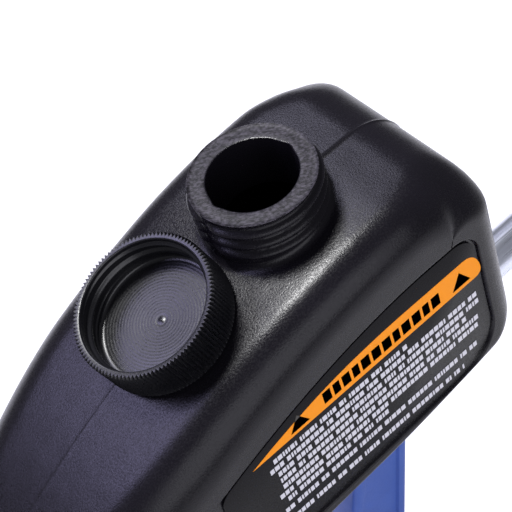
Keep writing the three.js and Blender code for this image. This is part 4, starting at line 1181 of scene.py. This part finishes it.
def block(low, high):
    """A plain block between two corners."""
    mesh = bmesh.new()
    (x0, y0, z0), (x1, y1, z1) = low, high
    rings = [[(x0, y0, z), (x1, y0, z), (x1, y1, z), (x0, y1, z)] for z in (z0, z1)]
    made = skin(mesh, rings)
    mesh.faces.new(made[0])
    mesh.faces.new(made[1])
    return mesh


def tool_object(mesh):
    """An object that joins or cuts another and is then taken away."""
    return in_scene("tool", solid_data("tool", mesh, Matrix.Identity(4)))


def worked(base, *steps):
    """A mesh after joining other meshes to it and cutting them from it, in order."""
    shown = tool_object(base)
    tools = []
    for operation, tool in steps:
        tools.append(tool_object(tool))
        modifier = shown.modifiers.new("work", "BOOLEAN")
        modifier.operation = operation
        modifier.solver = "EXACT"
        modifier.object = tools[-1]
    depsgraph = bpy.context.evaluated_depsgraph_get()
    result = bmesh.new()
    data = bpy.data.meshes.new_from_object(shown.evaluated_get(depsgraph))
    result.from_mesh(data)
    bpy.data.meshes.remove(data)
    for item in (shown, *tools):
        bpy.data.meshes.remove(item.data)
    return result


def body_half(side):
    """One moulded half, hollow, with its screw bosses and the rooms for what it holds."""
    outer, hollow = bmesh.new(), bmesh.new()
    outline, width = body_outline(), BODY_HALF_WIDTH
    slab(outer, outline, -width, width, BODY_EDGE, steps=8)
    slab(hollow, inset(outline, BODY_WALL), BODY_WALL - width, width - BODY_WALL, BODY_EDGE / 2)
    steps = [("DIFFERENCE", hollow)]
    for x, z in SCREW_PLACES:
        steps.append(("UNION", rod_across(SCREW_BOSS_RADIUS, 2 - width, width - 2, x, z)))
    slot = TRIGGER_HALF_WIDTH + 0.7
    cuts = [rod(SPOUT_ROOM, -112, -86),
            rod_along(TUBE_ROOM, -20, BODY_FRONT_X + 1, BARREL_Z),
            rod_along(VALVE_RADIUS + CLEARANCE, -69, -36, VALVE_Z),
            rod_along(STEM_ROOM, -40, -20, VALVE_Z),
            block((-12, -slot, -140), (26, slot, -113.6)),
            rod_across(PIN_RADIUS + CLEARANCE, -width - 1, width + 1, *PIVOT),
            rod(INLET_ROOM, -GRIP_LENGTH - 2, -GRIP_LENGTH + 12, ALONG_GRIP)]
    for x, z in SCREW_PLACES:
        cuts.append(rod_across(SCREW_RADIUS + CLEARANCE, -width - 1, 9, x, z))
        cuts.append(rod_across(SCREW_HEAD_RADIUS + 0.4, -width - 1, SCREW_SEAT - width, x, z))
    steps += [("DIFFERENCE", cut) for cut in cuts]
    near, far = sorted((side * BODY_PARTING, side * FAR_SIDE))
    steps.append(("INTERSECT", block((-130, near, -240), (60, far, -70))))
    return worked(outer, *steps)


def make_body():
    for side, name in ((-1, "right"), (1, "left")):
        finish_piece(f"grip_shell_{name}", body_half(side), BLUE_NYLON,
                     nodes=[f"body_shell_{name}"], sharp=30)


def screw_mesh(head_radius, head_height, shank_radius, shank_length):
    """A pan-head screw standing on Z = 0, with a cross recess in its head."""
    mesh = bmesh.new()
    dome = [(0, head_height), (head_radius * 0.55, head_height - 0.06),
            (head_radius * 0.85, head_height - 0.35), (head_radius, head_height - 0.95),
            (head_radius, 0.15), (head_radius - 0.15, 0), (shank_radius, 0),
            (shank_radius, -shank_length), (0, -shank_length)]
    turned(mesh, eased(dome, 0.2), around=40)
    arms, reach, half_slot, recess_depth = [], head_radius * 0.58, 0.36, 1.3
    for turn in (0, math.pi / 2):
        arm = block((-reach, -half_slot, head_height - recess_depth), (reach, half_slot, head_height + 1))
        for vert in arm.verts:
            if vert.co.z < head_height:
                vert.co.x *= 0.45
        arm.transform(Matrix.Rotation(turn, 4, "Z"))
        arms.append(("DIFFERENCE", arm))
    return worked(mesh, *arms)


def make_screws():
    for i, (x, z) in enumerate(SCREW_PLACES):
        seat = SCREW_SEAT - CLEARANCE - BODY_HALF_WIDTH
        place = Matrix.Translation((x, seat, z)) @ Matrix.Rotation(math.pi / 2, 4, "X")
        place = place @ Matrix.Rotation(0.7 * i, 4, "Z")
        mesh = screw_mesh(SCREW_HEAD_RADIUS, 2.3, SCREW_RADIUS, 8 - seat)
        finish_piece(f"cross_screw_{i + 1}", mesh, SCREW_STEEL,
                     nodes=[f"body_screw_{i + 1}"], place=place)


def make_inlet():
    end = -GRIP_LENGTH
    hex_high = end - 1.9
    hex_low = hex_high - 9
    corner, chamfer = 10.5, 9.3
    bore, plug, waist = 3.2, 5.9, 4.6
    tip, top = end - 29, end + 14
    profile = [(bore, tip), (4.1, tip), (4.4, end - 28.6), (5.2, end - 26), (plug, end - 24),
               (plug, end - 22), (waist, end - 21), (waist, end - 18), (plug, end - 17)]
    grooves = 5
    groove_start, groove_step = end - 16.4, (hex_low + 0.2 - (end - 16.4)) / (grooves + 1)
    for k in range(grooves):
        z = groove_start + groove_step * k
        profile += [(plug, z), (plug - 0.3, z + groove_step * 0.35), (plug, z + groove_step * 0.7)]
    profile += [(plug, hex_low), (chamfer, hex_low), (corner, hex_low + 0.7), (corner, hex_high - 0.7),
                (chamfer, hex_high), (6.9, hex_high), (6.9, top), (bore, top), (bore, tip)]

    def hexagon(radius, height, angle):
        return min(radius, hex_radius(corner, angle)) if radius > 9 else radius

    make_turned_piece("inlet_plug_turned", profile, BRASS, ALONG_GRIP, ["inlet_fitting"], ease=0,
                      around=144, ripple=hexagon, sharp=25)
    ring = sleeve(7.2, 10, end - 1.6, end - 0.3)
    make_turned_piece("inlet_seal_washer", ring, RUBBER_BLACK, ALONG_GRIP, ["inlet_washer"])


def make_pin_and_stem():
    half = BODY_HALF_WIDTH - 0.2
    across = Matrix.Translation((PIVOT[0], 0, PIVOT[1])) @ Matrix.Rotation(math.pi / 2, 4, "X")
    pin = [(0, -half), (PIN_RADIUS - 0.4, -half), (PIN_RADIUS, 0.4 - half), (PIN_RADIUS, half - 0.4),
           (PIN_RADIUS - 0.4, half), (0, half)]
    make_turned_piece("hinge_pin_round", pin, SCREW_STEEL, across, ["trigger_pin"],
                      around=40)
    along = Matrix.Translation((0, 0, VALVE_Z)) @ Matrix.Rotation(math.pi / 2, 4, "Y")
    stem = [(0, -48.6), (4.6, -48.6), (4.6, -46), (2, -46), (2, -9.1), (1.4, -8.5), (0, -8.5)]
    make_turned_piece("push_stem_ground", stem, NUT_STEEL, along, ["valve_stem"],
                      around=40, body="valve_stem")


def make_spring():
    """The valve spring, a coil wound along the valve's axis behind the stem's head."""
    coil_radius, wire_radius, turns, sides = 3.5, 0.5, 5, 10
    rear, front = -59, -49.6
    mesh, rings, steps = bmesh.new(), [], turns * 32
    for i in range(steps + 1):
        angle = 2 * math.pi * turns * i / steps
        out = Vector((0, math.cos(angle), math.sin(angle)))
        around = Vector((0, -math.sin(angle), math.cos(angle))) * coil_radius
        along = (around + Vector(((front - rear) / (2 * math.pi * turns), 0, 0))).normalized()
        across = along.cross(out)
        centre = Vector((rear + (front - rear) * i / steps, 0, VALVE_Z)) + out * coil_radius
        ring = []
        for k in range(sides):
            turn = 2 * math.pi * k / sides
            ring.append(centre + (out * math.cos(turn) + across * math.sin(turn)) * wire_radius)
        rings.append(ring)
    made = skin(mesh, rings)
    mesh.faces.new(made[0])
    mesh.faces.new(made[-1])
    piece = finish_piece("coil_spring_wound", mesh, SCREW_STEEL, body=None,
                         nodes=["valve_spring"])
    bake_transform(piece)


# ---- Assembly ----

make_hopper()
make_cap()
make_labels()
make_trigger()
make_barrel()
make_body()
make_screws()
make_inlet()
make_pin_and_stem()
make_spring()

CARRIED_OVER = {
    "hopper_plastic": HOPPER_BLACK,
    "cap_plastic": CAP_BLACK,
    "label_film": LABEL_BLACK,
    "blue_plastic": BLUE_NYLON,
    "rubber": RUBBER_BLACK,
    "tube_steel": TUBE_STEEL,
    "nut_steel": NUT_STEEL,
    "screw_steel": SCREW_STEEL,
    "cast_alloy": CAST_ALLOY,
    "brass": BRASS,
    "ceramic": CERAMIC,
}


def finish_carried_over():
    """Gives each CAD node that still shows the finish of its slot."""
    for part in frame["record"]["subparts"]:
        node = frame["nodes"][part["node"]]
        if not node.hide_render:
            for socket in node.material_slots:
                socket.material = CARRIED_OVER[part["material_slot"]]


finish_carried_over()
